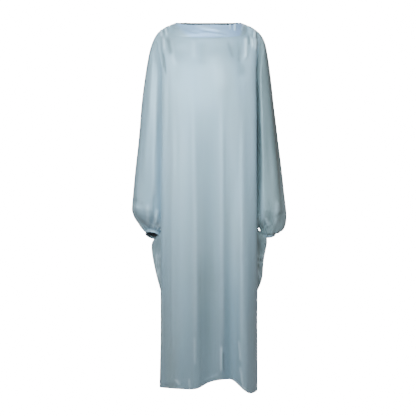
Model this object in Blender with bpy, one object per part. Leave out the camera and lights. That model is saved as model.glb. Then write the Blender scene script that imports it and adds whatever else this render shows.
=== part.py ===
"""Prayer dress: a long satin dress with a boat neck, a wide neckband and batwing sleeves, held as it is worn.

Metres, +Z up. The origin is on the wearer's shoulder line, level with the middle of the front neckline.
The front faces -Y and the wearer's left is +X. Every piece is a thin wall of cloth, cut and seamed as the real
one is, with its own folds. Nothing is inside it.
"""
import math

import bpy
from mathutils import Vector

# Cloth and seams
CLOTH = 0.0015
DOUBLED_CLOTH = 0.0024
SEAM_GAP = 0.0003

# Heights of the main lines
SHOULDER_POINT_Z = -0.030
CHEST_Z = -0.200
CUFF_LEVEL_Z = -0.700
HIP_Z = -1.020
SIDE_SEAM_Z = -1.032
HEM_Z = -1.390

# Half widths on the shoulder line
NECK_TIP_X = 0.123
NECK_TIP_Z = 0.012
NECK_END_X = 0.150
NECK_END_Z = 0.001
SHOULDER_POINT_X = 0.198

# Necklines at the middle: upper edge and the seam below the band
FRONT_NECK_Y = -0.080
FRONT_NECK_Z = 0.000
FRONT_BAND_SEAM_Y = -0.094
FRONT_BAND_SEAM_Z = -0.050
BACK_NECK_Y = 0.070
BACK_NECK_Z = 0.013
BACK_BAND_SEAM_Y = 0.084
BACK_BAND_SEAM_Z = -0.029

# How finely each piece is divided
SHOULDER_COLUMNS = 10
NECK_COLUMNS = 22
YOKE_ROWS = 7
BODY_ROWS = 7
HIP_ROWS = 7
SKIRT_ROWS = 7
UNDER_SEAM_COLUMNS = 7
CUFF_COLUMNS = 16
CAP_ROWS = 3
BAND_ROWS = 3
CUFF_ROWS = 2
BAND_BULGE = 0.004
FLAT_SHARE = 0.78
VALLEY_SHARE = 0.26

# Points on the fine lines that the rows are read from
CURVE_STEPS = 40
RETURN_STEPS = 24
NECK_STEPS = 160
LINE_STEPS = 200
SLEEVE_STEPS = 60

# How full each curve is: 1 is an ellipse, and less is squarer
BODY_FULLNESS = 0.86
SLEEVE_FULLNESS = {"left": 0.92, "right": 0.74}
SEAM_TUCK = 0.004
YOKE_LEAVE_DOWN = -0.95
YOKE_LEAVE_FLATTER = 0.45
YOKE_LEAVE_FORWARD = 0.25
YOKE_LEAVE_OUT = 0.10
YOKE_BULGE = 0.55
YOKE_ARRIVE_FORWARD = 0.10
YOKE_TIP_POWER = 5
YOKE_TIP_START_X = 0.08
YOKE_BESIDE_NECK_X = 0.12
YOKE_BESIDE_SHOULDER_X = 0.185
SHOULDER_DROP_POWER = 1.35
NECK_FULLNESS = 0.80
NECK_TIP_FULLNESS = 0.92
NECK_SEAM_FULLNESS = 0.72
NECK_SEAM_DIP = 0.42

# Levels down the body. The corner is where a panel turns back into the armhole.
# The seam is the armhole or the side seam.
# Widths are for the wearer's left and right, depths run forward for the front and backward for the back.
BODY_LEVELS = [
    dict(z=-0.200, corner_left=0.183, corner_right=0.176, front=0.128, back=0.112, corner_depth=0.086,
         seam_left=0.1815, seam_right=0.175, seam_depth_left=0.062, seam_depth_right=0.078, hook=0.006),
    dict(z=-0.300, corner_left=0.184, corner_right=0.176, front=0.138, back=0.116, corner_depth=0.098,
         seam_left=0.183, seam_right=0.176, seam_depth_left=0.058, seam_depth_right=0.087, hook=0.010),
    dict(z=-0.500, corner_left=0.184, corner_right=0.178, front=0.142, back=0.114, corner_depth=0.102,
         seam_left=0.186, seam_right=0.179, seam_depth_left=0.052, seam_depth_right=0.088, hook=0.010),
    dict(z=-0.700, corner_left=0.185, corner_right=0.181, front=0.145, back=0.122, corner_depth=0.096,
         seam_left=0.182, seam_right=0.178, seam_depth_left=0.050, seam_depth_right=0.070, hook=0.009),
    dict(z=-0.820, corner_left=0.186, corner_right=0.182, front=0.147, back=0.130, corner_depth=0.086,
         seam_left=0.172, seam_right=0.167, seam_depth_left=0.036, seam_depth_right=0.038, hook=0.007),
    dict(z=-0.920, corner_left=0.187, corner_right=0.183, front=0.148, back=0.133, corner_depth=0.070,
         seam_left=0.180, seam_right=0.176, seam_depth_left=0.026, seam_depth_right=0.026, hook=0.004),
    dict(z=-1.020, corner_left=0.187, corner_right=0.183, front=0.150, back=0.136, corner_depth=0.050,
         seam_left=0.188, seam_right=0.184, seam_depth_left=0.004, seam_depth_right=0.004, hook=0.000),
    dict(z=-1.120, corner_left=0.187, corner_right=0.183, front=0.152, back=0.140, corner_depth=0.030,
         seam_left=0.187, seam_right=0.183, seam_depth_left=0.000, seam_depth_right=0.000, hook=0.000),
    dict(z=-1.420, corner_left=0.187, corner_right=0.187, front=0.152, back=0.146, corner_depth=0.030,
         seam_left=0.186, seam_right=0.188, seam_depth_left=0.000, seam_depth_right=0.000, hook=0.000),
]

# Levels down a sleeve: the outer fold is the garment's outline.
# The crest is the fullest line of front and back.
SLEEVE_LEVELS = [
    dict(z=-0.030, fold_left=0.199, fold_right=0.199,
         crest_left=0.004, crest_right=0.004, out_left=0.001, out_right=0.001),
    dict(z=-0.055, fold_left=0.214, fold_right=0.212,
         crest_left=0.006, crest_right=0.006, out_left=0.004, out_right=0.004),
    dict(z=-0.078, fold_left=0.221, fold_right=0.221,
         crest_left=0.005, crest_right=0.005, out_left=0.010, out_right=0.010),
    dict(z=-0.120, fold_left=0.228, fold_right=0.231,
         crest_left=0.008, crest_right=0.006, out_left=0.016, out_right=0.018),
    dict(z=-0.190, fold_left=0.238, fold_right=0.242,
         crest_left=0.015, crest_right=0.008, out_left=0.017, out_right=0.022),
    dict(z=-0.285, fold_left=0.248, fold_right=0.255,
         crest_left=0.022, crest_right=0.011, out_left=0.018, out_right=0.026),
    dict(z=-0.380, fold_left=0.260, fold_right=0.263,
         crest_left=0.028, crest_right=0.013, out_left=0.020, out_right=0.028),
    dict(z=-0.470, fold_left=0.271, fold_right=0.271,
         crest_left=0.032, crest_right=0.014, out_left=0.022, out_right=0.030),
    dict(z=-0.560, fold_left=0.282, fold_right=0.282,
         crest_left=0.034, crest_right=0.016, out_left=0.024, out_right=0.032),
    dict(z=-0.650, fold_left=0.291, fold_right=0.290,
         crest_left=0.034, crest_right=0.022, out_left=0.030, out_right=0.036),
    dict(z=-0.700, fold_left=0.298, fold_right=0.294,
         crest_left=0.032, crest_right=0.028, out_left=0.036, out_right=0.040),
]

# Soft vertical folds: x at the top and at the hem, where they start and are full, half width, height outward.
FRONT_FOLDS = [
    dict(top=-0.112, hem=-0.122, start=-0.45, full=-1.30, width=0.024, rise=0.012),
    dict(top=-0.050, hem=-0.050, start=-0.30, full=-1.25, width=0.028, rise=0.016),
    dict(top=0.020, hem=0.012, start=-0.35, full=-1.25, width=0.024, rise=-0.012),
    dict(top=0.058, hem=0.050, start=-0.50, full=-1.10, width=0.020, rise=0.010),
    dict(top=0.086, hem=0.086, start=-0.40, full=-1.35, width=0.028, rise=-0.036),
    dict(top=0.128, hem=0.146, start=-0.30, full=-1.35, width=0.030, rise=0.030),
]
BACK_FOLDS = [
    dict(top=-0.120, hem=-0.138, start=-0.50, full=-1.30, width=0.026, rise=0.018),
    dict(top=-0.080, hem=-0.088, start=-0.35, full=-1.25, width=0.024, rise=-0.016),
    dict(top=-0.030, hem=-0.030, start=-0.30, full=-1.30, width=0.030, rise=0.018),
    dict(top=0.022, hem=0.026, start=-0.40, full=-1.20, width=0.024, rise=-0.020),
    dict(top=0.070, hem=0.082, start=-0.32, full=-1.30, width=0.028, rise=0.020),
    dict(top=0.112, hem=0.128, start=-0.45, full=-1.25, width=0.022, rise=-0.012),
]
SLEEVE_FOLDS = [
    dict(top=0.30, hem=0.26, start=-0.20, full=-0.60, width=0.05, rise=0.006),
    dict(top=0.38, hem=0.36, start=-0.12, full=-0.55, width=0.05, rise=-0.007),
    dict(top=0.62, hem=0.64, start=-0.16, full=-0.55, width=0.05, rise=-0.006),
    dict(top=0.72, hem=0.74, start=-0.22, full=-0.60, width=0.05, rise=0.006),
]

# The hem's height at stations across, front and back
FRONT_HEM = [
    dict(x=-0.190, z=-1.386), dict(x=-0.120, z=-1.388), dict(x=-0.070, z=-1.390), dict(x=-0.043, z=-1.387),
    dict(x=0.009, z=-1.361), dict(x=0.050, z=-1.353), dict(x=0.085, z=-1.352), dict(x=0.110, z=-1.370),
    dict(x=0.135, z=-1.394), dict(x=0.160, z=-1.407), dict(x=0.180, z=-1.402), dict(x=0.190, z=-1.394),
]
BACK_HEM = [
    dict(x=-0.190, z=-1.386), dict(x=-0.140, z=-1.382), dict(x=-0.088, z=-1.372), dict(x=-0.030, z=-1.376),
    dict(x=0.022, z=-1.350), dict(x=0.060, z=-1.344), dict(x=0.090, z=-1.343), dict(x=0.125, z=-1.372),
    dict(x=0.160, z=-1.390), dict(x=0.190, z=-1.394),
]

# Pleats at each shoulder: place along the shoulder seam from the neckband out, and how far down they run
SHOULDER_PLEATS = 3
PLEAT_RISE = 0.0024
PLEAT_LENGTH = 0.11

# Cuffs. The opening points along out, and joint is the side where the under-seam ends.
CUFF_RADIUS = 0.029
CUFF_HEIGHT = 0.012
CUFF_GATHERS = 8
CUFF_GATHER_RISE = 0.0025
POUCH_COLUMNS = 4
POUCH_NECK_Z = -0.800
CUFF_PLACE = {
    "left": dict(centre=(0.2275, 0.0106, -0.7927), out=(0.053, 0.390, -0.919), joint=(-1.0, 0.0, 0.0),
                 drop=0.134, puff=0.083),
    "right": dict(centre=(0.2117, 0.0134, -0.7953), out=(0.249, -0.439, -0.863), joint=(-1.0, 0.0, 0.0),
                  drop=0.020, puff=0.027),
}

# Under-seam from the hip: up the outside of the pouch, over beside the cuff and down to the cuff's own edge
UNDER_SEAM = {
    "left": [
        dict(x=0.1885, y=0.0000, z=-1.0195), dict(x=0.2059, y=-0.0003, z=-0.9591),
        dict(x=0.1996, y=-0.0107, z=-0.8925),
        dict(x=0.2288, y=-0.0178, z=-0.8300), dict(x=0.1805, y=-0.0011, z=-0.7834),
        dict(x=0.1905, y=-0.0089, z=-0.7742),
        dict(x=0.1954, y=-0.0107, z=-0.7826),
    ],
    "right": [
        dict(x=0.1845, y=0.0000, z=-1.0195), dict(x=0.2087, y=0.0151, z=-0.9399),
        dict(x=0.2206, y=0.0082, z=-0.8803),
        dict(x=0.1969, y=0.0026, z=-0.8420), dict(x=0.1755, y=-0.0168, z=-0.7864),
        dict(x=0.1835, y=-0.0144, z=-0.7781),
        dict(x=0.1853, y=0.0034, z=-0.7848),
    ],
}

SATIN = (0.50, 0.58, 0.64, 1.0)
SATIN_BAND = (0.52, 0.61, 0.70, 1.0)
SATIN_ROUGHNESS = 0.38
BAND_ROUGHNESS = 0.34
CUFF_ROUGHNESS = 0.40


def smooth(value, start, end):
    """Rise evenly from 0 at start to 1 at end, flat at both."""
    t = min(max((value - start) / (end - start), 0.0), 1.0)
    return t * t * (3.0 - 2.0 * t)


def read_table(table, key, name, value):
    """Read one column of a table at a value of its key column, along a smooth curve through the rows."""
    rows = sorted(table, key=lambda row: row[key])
    value = min(max(value, rows[0][key]), rows[-1][key])
    index = 0
    while index < len(rows) - 2 and value > rows[index + 1][key]:
        index += 1
    low, high = rows[index], rows[index + 1]
    span = high[key] - low[key]
    step = (high[name] - low[name]) / span

    def slope(at):
        if at == 0 or at == len(rows) - 1:
            return step
        before = (rows[at][name] - rows[at - 1][name]) / (rows[at][key] - rows[at - 1][key])
        after = (rows[at + 1][name] - rows[at][name]) / (rows[at + 1][key] - rows[at][key])
        if before * after <= 0.0:
            return 0.0
        return 2.0 * before * after / (before + after)

    t = (value - low[key]) / span
    return hermite(low[name], high[name], slope(index) * span, slope(index + 1) * span, t)


def hermite(start, end, leave, arrive, t):
    """Cubic from start to end with the given tangents, for numbers and vectors."""
    return (start * (2 * t**3 - 3 * t**2 + 1) + leave * (t**3 - 2 * t**2 + t)
            + end * (3 * t**2 - 2 * t**3) + arrive * (t**3 - t**2))


def along(points, count):
    """Divide a line of points into count equal lengths."""
    lengths = [0.0]
    for before, after in zip(points, points[1:]):
        lengths.append(lengths[-1] + (after - before).length)
    found = []
    index = 0
    for step in range(count + 1):
        target = lengths[-1] * step / count
        while index < len(points) - 2 and lengths[index + 1] < target:
            index += 1
        share = (target - lengths[index]) / max(lengths[index + 1] - lengths[index], 1e-12)
        found.append(points[index].lerp(points[index + 1], min(max(share, 0.0), 1.0)))
    return found


class Cloth:
    """A grid of points on the middle of one piece of cloth, made into a wall of even thickness."""

    def __init__(self, name, rows, outward, closed=False):
        self.name = name
        self.rows = [[point.copy() for point in row] for row in rows]
        self.outward = outward
        self.closed = closed
        self.edge_normals = {}
        self.moves = {}

    def point(self, cell):
        return self.rows[cell[0]][cell[1]]

    def column(self, index):
        index = index % len(self.rows[0])
        return [(row, index) for row in range(len(self.rows))]

    def row(self, index):
        index = index % len(self.rows)
        return [(index, column) for column in range(len(self.rows[0]))]

    def inward_cell(self, cell, cells):
        """The cell beside an edge cell, one step into the cloth."""
        row, column = cell
        if cells[0][0] == cells[-1][0]:
            return (1, column) if row == 0 else (row - 1, column)
        return (row, 1) if column == 0 else (row, column - 1)

    def normal(self, cell):
        """Outward normal from the neighbouring points."""
        row, column = cell
        last_row = len(self.rows) - 1
        last_column = len(self.rows[0]) - 1
        if self.closed:
            across = self.rows[row][(column + 1) % (last_column + 1)] - self.rows[row][column - 1]
        else:
            across = self.rows[row][min(column + 1, last_column)] - self.rows[row][max(column - 1, 0)]
        down = self.rows[min(row + 1, last_row)][column] - self.rows[max(row - 1, 0)][column]
        return down.cross(across).normalized() * self.outward

    def edge(self, cell, move, normal, leads=False):
        """Stand an edge point off its seam and turn the end of its wall, by a leading seam alone."""
        self.moves[cell] = self.moves.get(cell, Vector()) + move
        before = Vector() if leads else self.edge_normals.get(cell, Vector())
        self.edge_normals[cell] = before + normal

    def build(self, thickness, colour, roughness):
        outer, inner = [], []
        for row_index, row in enumerate(self.rows):
            for column_index, point in enumerate(row):
                cell = (row_index, column_index)
                normal = self.edge_normals.get(cell, self.normal(cell)).normalized()
                middle = point + self.moves.get(cell, Vector())
                outer.append(middle + normal * thickness / 2)
                inner.append(middle - normal * thickness / 2)
        width = len(self.rows[0])
        height = len(self.rows)
        count = width * height
        steps = width if self.closed else width - 1
        faces = []

        def quad(a, b, c, d):
            if self.outward < 0:
                a, b, c, d = d, c, b, a
            if (points[a] - points[c]).length < (points[b] - points[d]).length:
                faces.extend([(a, b, c), (a, c, d)])
            else:
                faces.extend([(a, b, d), (b, c, d)])

        def at(row, column, layer=0):
            return layer * count + row * width + column % width

        points = outer + inner
        for row in range(height - 1):
            for column in range(steps):
                corners = [at(row, column), at(row + 1, column), at(row + 1, column + 1), at(row, column + 1)]
                before = len(faces)
                quad(*corners)
                faces.extend([tuple(vertex + count for vertex in face[::-1]) for face in faces[before:]])
        for column in range(steps):
            quad(at(0, column), at(0, column + 1), at(0, column + 1, 1), at(0, column, 1))
            last = height - 1
            quad(at(last, column, 1), at(last, column + 1, 1), at(last, column + 1), at(last, column))
        if not self.closed:
            for row in range(height - 1):
                quad(at(row, 0, 1), at(row + 1, 0, 1), at(row + 1, 0), at(row, 0))
                last = width - 1
                quad(at(row, last), at(row + 1, last), at(row + 1, last, 1), at(row, last, 1))
        mesh = bpy.data.meshes.new(self.name)
        mesh.from_pydata([tuple(vertex) for vertex in points], [], faces)
        mesh.validate()
        piece = bpy.data.objects.new(self.name, mesh)
        bpy.context.scene.collection.objects.link(piece)
        material = bpy.data.materials.new(self.name)
        material.use_nodes = True
        shader = material.node_tree.nodes["Principled BSDF"]
        shader.inputs["Base Color"].default_value = colour
        shader.inputs["Roughness"].default_value = roughness
        shader.inputs["Metallic"].default_value = 0.0
        mesh.materials.append(material)
        for face in mesh.polygons:
            face.use_smooth = True
        return piece


def sew(first, first_cells, second, second_cells, closed=False, leads=False):
    """Join two edges: each stands half a gap off the seam, and both walls end square to it, face to face."""
    last = len(first_cells) - 1
    frames = []
    for index, (cell, other) in enumerate(zip(first_cells, second_cells)):
        if closed:
            run = first.point(first_cells[(index + 1) % (last + 1)]) - first.point(first_cells[index - 1])
        else:
            run = first.point(first_cells[min(index + 1, last)]) - first.point(first_cells[max(index - 1, 0)])
        run.normalize()
        normal = first.normal(cell) + second.normal(other)
        across = normal.cross(run).normalized()
        frames.append((across, run.cross(across).normalized()))
    middle = first_cells[last // 2]
    into = first.point(first.inward_cell(middle, first_cells)) - first.point(middle)
    side = math.copysign(SEAM_GAP / 2, into.dot(frames[last // 2][0]))
    for cell, other, (across, normal) in zip(first_cells, second_cells, frames):
        first.edge(cell, across * side, normal, leads)
        second.edge(other, across * -side, normal, leads)
    return frames[0][0] * side, frames[0][1]


def body_value(name, z):
    return read_table(BODY_LEVELS, "z", name, z)


def fold_rise(folds, across, z):
    """Height of all the folds together at a place across the cloth and a level."""
    total = 0.0
    for fold in folds:
        share = smooth(-z, -fold["start"], -fold["full"])
        middle = fold["top"] + (fold["hem"] - fold["top"]) * smooth(-z, -fold["start"], -HEM_Z)
        total += fold["rise"] * share * math.exp(-((across - middle) / fold["width"]) ** 2)
    return total


def half_level(side, facing, z):
    """Half of a panel's line at one level: from its middle out to its corner, and the return to the seam."""
    depth = body_value("front" if facing < 0 else "back", z)
    share = depth / body_value("front", z)
    corner = body_value("corner_" + side, z)
    corner_depth = body_value("corner_depth", z) * share
    seam_x = body_value("seam_" + side, z)
    seam_depth = min(body_value("seam_depth_" + side, z), max(corner_depth - SEAM_TUCK, 0.0))
    if z <= SIDE_SEAM_Z:
        seam_depth = 0.0
    hook = body_value("hook", z)
    front = []
    for step in range(CURVE_STEPS + 1):
        angle = math.pi / 2 * step / CURVE_STEPS
        x = corner * math.sin(angle) ** BODY_FULLNESS
        y = corner_depth + (depth - corner_depth) * max(math.cos(angle), 0.0) ** BODY_FULLNESS
        front.append(Vector((x, y * facing, z)))
    start = Vector((corner, corner_depth * facing, z))
    end = Vector((seam_x, seam_depth * facing, z))
    fall = (seam_depth - corner_depth) * facing
    bend = Vector((corner - hook * 0.8, start.y + fall * 0.5, z))
    arrive = Vector((seam_x - hook, end.y - (0.0 if hook > 0.001 else fall * 0.4), z))
    back = []
    for step in range(RETURN_STEPS + 1):
        t = step / RETURN_STEPS
        toward_seam = arrive * 3 * t * t * (1 - t) + end * t**3
        back.append(start * (1 - t) ** 3 + bend * 3 * t * (1 - t) ** 2 + toward_seam)
    return front, back


def panel_level(facing, z):
    """A panel's whole line at one level, from the wearer's right seam to the left, with its folds."""
    shoulder_half = SHOULDER_COLUMNS // 2
    return_columns = SHOULDER_COLUMNS - shoulder_half
    folds = FRONT_FOLDS if facing < 0 else BACK_FOLDS
    hem = FRONT_HEM if facing < 0 else BACK_HEM
    halves = {}
    for side in ("right", "left"):
        front, back = half_level(side, facing, z)
        fine = along(front, LINE_STEPS)
        cut = int(LINE_STEPS * FLAT_SHARE)
        line = along(fine[:cut + 1], NECK_COLUMNS // 2) + along(fine[cut:], shoulder_half)[1:]
        line += along(back, return_columns)[1:]
        if side == "right":
            line = [Vector((-point.x, point.y, point.z)) for point in line]
        halves[side] = line
    whole = halves["right"][::-1] + halves["left"][1:]
    shaped = []
    for index, point in enumerate(whole):
        from_edge = min(index, len(whole) - 1 - index)
        loose = smooth(from_edge, 1, return_columns + 1)
        rise = fold_rise(folds, point.x, z) * loose
        hem_share = smooth(-z, 1.10, -HEM_Z) ** 2
        drop = (read_table(hem, "x", "z", point.x) - HEM_Z) * hem_share
        shaped.append(Vector((point.x, point.y + rise * facing, z + drop)))
    return shaped


def neck_seam(facing):
    """The seam below one half of the neckband, from the wearer's right neck end to the left."""
    seam_y = FRONT_BAND_SEAM_Y if facing < 0 else BACK_BAND_SEAM_Y
    seam_z = FRONT_BAND_SEAM_Z if facing < 0 else BACK_BAND_SEAM_Z
    line = []
    for step in range(NECK_STEPS + 1):
        angle = math.pi * (step / NECK_STEPS - 0.5)
        x = NECK_END_X * math.copysign(abs(math.sin(angle)) ** NECK_SEAM_FULLNESS, math.sin(angle))
        y = seam_y * max(math.cos(angle), 0.0) ** NECK_FULLNESS
        z = seam_z + (NECK_END_Z - seam_z) * (1.0 - max(math.cos(angle), 0.0) ** NECK_SEAM_DIP)
        line.append(Vector((x, y, z)))
    return along(line, NECK_COLUMNS)


def shoulder_point(side, share):
    """A point of the shoulder seam, from the neck end out to the top of the armhole."""
    sign = 1 if side == "left" else -1
    x = NECK_END_X + (SHOULDER_POINT_X - NECK_END_X) * share
    z = NECK_END_Z + (SHOULDER_POINT_Z - NECK_END_Z) * share ** SHOULDER_DROP_POWER
    return Vector((sign * x, 0.0, z))


def top_edge(facing):
    """A panel's upper edge from the wearer's right armhole over the neck seam to the left armhole."""
    right = [shoulder_point("right", 1 - step / SHOULDER_COLUMNS) for step in range(SHOULDER_COLUMNS)]
    left = [shoulder_point("left", (step + 1) / SHOULDER_COLUMNS) for step in range(SHOULDER_COLUMNS)]
    return right + neck_seam(facing) + left


def station_levels():
    """Levels of the rows below the chest: down the armhole, past the cuff to the hip, and down the skirt."""
    body = [CHEST_Z + (CUFF_LEVEL_Z - CHEST_Z) * step / BODY_ROWS for step in range(1, BODY_ROWS + 1)]
    hip = [CUFF_LEVEL_Z + (HIP_Z - CUFF_LEVEL_Z) * step / HIP_ROWS for step in range(1, HIP_ROWS + 1)]
    skirt = [SIDE_SEAM_Z + (HEM_Z - SIDE_SEAM_Z) * step / SKIRT_ROWS for step in range(SKIRT_ROWS + 1)]
    return body, hip, skirt


def pleat_rise(point, top):
    """Height of the gathers that leave the shoulder seam."""
    place = (abs(top.x) - NECK_END_X) / (SHOULDER_POINT_X - NECK_END_X)
    wave = math.sin(2 * math.pi * SHOULDER_PLEATS * place)
    inside = smooth(place, 0.0, 0.15) * (1.0 - smooth(place, 0.85, 1.0))
    run = (point - top).length
    return PLEAT_RISE * wave * inside * smooth(run, 0.0, 0.015) * (1.0 - smooth(run, 0.03, PLEAT_LENGTH))


def panel_rows(facing):
    """All the rows of a panel, from its upper edge to the hem."""
    edge = top_edge(facing)
    chest = panel_level(facing, CHEST_Z)
    rows = []
    for row in range(YOKE_ROWS):
        t = row / YOKE_ROWS
        line = []
        for top, low in zip(edge, chest):
            share = min(abs(top.x) / NECK_END_X, 1.0) ** YOKE_TIP_POWER
            reach = (low - top).length
            beside_neck = smooth(abs(top.x), YOKE_BESIDE_NECK_X, NECK_END_X)
            beside_neck *= 1.0 - smooth(abs(top.x), NECK_END_X, YOKE_BESIDE_SHOULDER_X)
            out = math.copysign(YOKE_LEAVE_OUT + YOKE_BULGE * beside_neck, top.x)
            out *= smooth(abs(top.x), YOKE_TIP_START_X, YOKE_BESIDE_NECK_X)
            forward = facing * (YOKE_LEAVE_FORWARD + YOKE_BULGE * share)
            leave = Vector((out, forward, YOKE_LEAVE_DOWN + YOKE_LEAVE_FLATTER * share)) * reach
            arrive = Vector((0.0, facing * YOKE_ARRIVE_FORWARD, -1.0)) * reach
            line.append(hermite(top, low, leave, arrive, t))
        rows.append(line)
    body, hip, skirt = station_levels()
    rows.append(chest)
    for z in body + hip + skirt:
        rows.append(panel_level(facing, z))
    plain = Cloth("plain", rows, outward=-facing)
    for row in range(1, YOKE_ROWS):
        for column, top in enumerate(edge):
            point = rows[row][column]
            rows[row][column] = point + plain.normal((row, column)) * pleat_rise(point, top)
    return rows


def band_rows(facing):
    """Half of the neckband, from its upper edge to the seam, rounded a little over its height."""
    seam = neck_seam(facing)
    neck_y = FRONT_NECK_Y if facing < 0 else BACK_NECK_Y
    neck_z = FRONT_NECK_Z if facing < 0 else BACK_NECK_Z
    upper = []
    for step in range(NECK_STEPS + 1):
        angle = math.pi * (step / NECK_STEPS - 0.5)
        x = NECK_TIP_X * math.copysign(abs(math.sin(angle)) ** NECK_TIP_FULLNESS, math.sin(angle))
        y = neck_y * max(math.cos(angle), 0.0) ** NECK_FULLNESS
        z = neck_z + (NECK_TIP_Z - neck_z) * abs(math.sin(angle)) ** 5
        upper.append(Vector((x, y, z)))
    upper = along(upper, NECK_COLUMNS)
    rows = []
    for row in range(BAND_ROWS + 1):
        t = row / BAND_ROWS
        line = []
        for top, low in zip(upper, seam):
            bulge = BAND_BULGE * 4 * t * (1 - t) * (1 - (abs(top.x) / NECK_TIP_X) ** 8)
            line.append(top.lerp(low, t) + Vector((0.0, facing * bulge, 0.0)))
        rows.append(line)
    return rows


def cuff_frame(side):
    """Centre of the cuff seam, the way its opening points, the under-seam's side and the front's side."""
    sign = 1 if side == "left" else -1
    place = CUFF_PLACE[side]
    centre = Vector((place["centre"][0] * sign, place["centre"][1], place["centre"][2]))
    out = Vector((place["out"][0] * sign, place["out"][1], place["out"][2])).normalized()
    joint = Vector((place["joint"][0] * sign, place["joint"][1], place["joint"][2]))
    joint = (joint - out * joint.dot(out)).normalized()
    front = joint.cross(out).normalized() * sign
    return centre, out, joint, front


def cuff_ring(side, radius, outward):
    """Points round the cuff from the under-seam over the front and back again, the last not repeated."""
    centre, out, joint, front = cuff_frame(side)
    ring = []
    for step in range(CUFF_COLUMNS):
        angle = 2 * math.pi * step / CUFF_COLUMNS
        ring.append(centre + out * outward + (joint * math.cos(angle) + front * math.sin(angle)) * radius)
    return ring


def seam_at(seam, z):
    """A point of an armhole seam at a level."""
    for above, below in zip(seam, seam[1:]):
        if below.z <= z:
            return above.lerp(below, min(max((above.z - z) / (above.z - below.z), 0.0), 1.0))
    return seam[-1].copy()


def sleeve_half(side, seam, facing, z):
    """Half of a sleeve's line at one level, from the armhole seam over the crest to the outer fold."""
    fold = read_table(SLEEVE_LEVELS, "z", "fold_" + side, z)
    start = seam_at(seam, z)
    seam_x = abs(start.x)
    crest_x = seam_x + min(read_table(SLEEVE_LEVELS, "z", "out_" + side, z), (fold - seam_x) * 0.45)
    crest_y = abs(start.y) + read_table(SLEEVE_LEVELS, "z", "crest_" + side, z)
    reach = crest_x - seam_x
    line = []
    low = Vector((seam_x, start.y, z))
    high = Vector((crest_x, crest_y * facing, z))
    for step in range(RETURN_STEPS):
        t = step / RETURN_STEPS
        line.append(hermite(low, high, Vector((reach * 1.1, 0, 0)), Vector((reach * 0.9, 0, 0)), t))
    for step in range(CURVE_STEPS + 1):
        angle = math.pi / 2 * step / CURVE_STEPS
        x = crest_x + (fold - crest_x) * math.sin(angle) ** SLEEVE_FULLNESS[side]
        y = crest_y * max(math.cos(angle), 0.0) ** SLEEVE_FULLNESS[side]
        line.append(Vector((x, y * facing, z)))
    return line


def sleeve_point(side, seam, facing, z, column):
    """A sleeve's point at a level, for a column counted from the armhole to the outer fold."""
    sign = 1 if side == "left" else -1
    half = UNDER_SEAM_COLUMNS + CUFF_COLUMNS // 2
    even = UNDER_SEAM_COLUMNS / half
    cut = even + (VALLEY_SHARE - even) * smooth(-z, 0.10, 0.45)
    if column <= UNDER_SEAM_COLUMNS:
        share = cut * column / UNDER_SEAM_COLUMNS
    else:
        share = cut + (1 - cut) * (column - UNDER_SEAM_COLUMNS) / (half - UNDER_SEAM_COLUMNS)
    fine = along(sleeve_half(side, seam, facing, z), SLEEVE_STEPS)
    at = min(share, 0.9999) * SLEEVE_STEPS
    point = fine[int(at)].lerp(fine[int(at) + 1], at - int(at))
    whole = share / 2 if facing < 0 else 1 - share / 2
    rise = fold_rise(SLEEVE_FOLDS, whole, z) * smooth(share, 0.20, 0.44)
    outward = Vector((point.x - 0.20, point.y, 0.0)).normalized()
    point = point + outward * rise
    return Vector((point.x * sign, point.y, point.z))


def under_seam(side):
    """The under-seam from the hip to the cuff."""
    sign = 1 if side == "left" else -1
    joint = cuff_ring(side, CUFF_RADIUS, 0.0)[0]
    points = []
    for index, row in enumerate(UNDER_SEAM[side]):
        share = smooth(index, UNDER_SEAM_COLUMNS - 4, UNDER_SEAM_COLUMNS)
        points.append(Vector((row["x"] * sign, row["y"] + joint.y * share, row["z"])))
    points.append(joint)
    return points


def sleeve_rows(side, front_rows, back_rows):
    """All the rows of a sleeve: over the shoulder point, level ones, then down to seam and cuff."""
    column = -1 if side == "left" else 0
    front = [row[column] for row in front_rows]
    back = [row[column] for row in back_rows]
    level_rows = YOKE_ROWS + BODY_ROWS
    half = UNDER_SEAM_COLUMNS + CUFF_COLUMNS // 2
    cap = []
    for station in range(CAP_ROWS, 0, -1):
        cap += along([front[station], front[station - 1]], half // CAP_ROWS)[:-1]
    for station in range(CAP_ROWS):
        cap += along([back[station], back[station + 1]], half // CAP_ROWS)[:-1]
    rows = [cap + [back[CAP_ROWS]]]
    for row in range(CAP_ROWS + 1, level_rows + 1):
        share = smooth(row - CAP_ROWS, -1.5, 6)
        line = []
        for index in range(2 * half + 1):
            facing = -1 if index <= half else 1
            seam = front if facing < 0 else back
            column_index = index if facing < 0 else 2 * half - index
            from_fold = (1 - column_index / half) ** 2
            fold_z = SHOULDER_POINT_Z + (seam[row].z - SHOULDER_POINT_Z) * share
            z = fold_z + (seam[row].z - fold_z) * from_fold
            line.append(sleeve_point(side, seam, facing, z, column_index))
        line[0] = front[row].copy()
        line[-1] = back[row].copy()
        rows.append(line)
    start = rows[-1]
    above = rows[-2]
    lower = {}
    for facing, seam, first in ((-1, front, 0), (1, back, 2 * half)):
        step = 1 if facing < 0 else -1
        columns = [first + step * index for index in range(half + 1)]
        lower.update(lower_columns(side, facing, seam[level_rows:], columns, start, above))
    for row in range(1, HIP_ROWS + 1):
        rows.append([lower[index][row] for index in range(2 * half + 1)])
    return rows


def pouch_point(start, beside, end, leave, arrive, t):
    """A point on the way down a pouch, which passes close to the body beside the cuff."""
    share = (start.z - beside.z) / (start.z - end.z)
    through = Vector(((end.x - start.x) * 0.3, (end.y - start.y) * 0.9, end.z - start.z))
    if t < share:
        return hermite(start, beside, leave * share, through * share, t / share)
    return hermite(beside, end, through * (1.0 - share), arrive * (1.0 - share), (t - share) / (1.0 - share))


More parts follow.
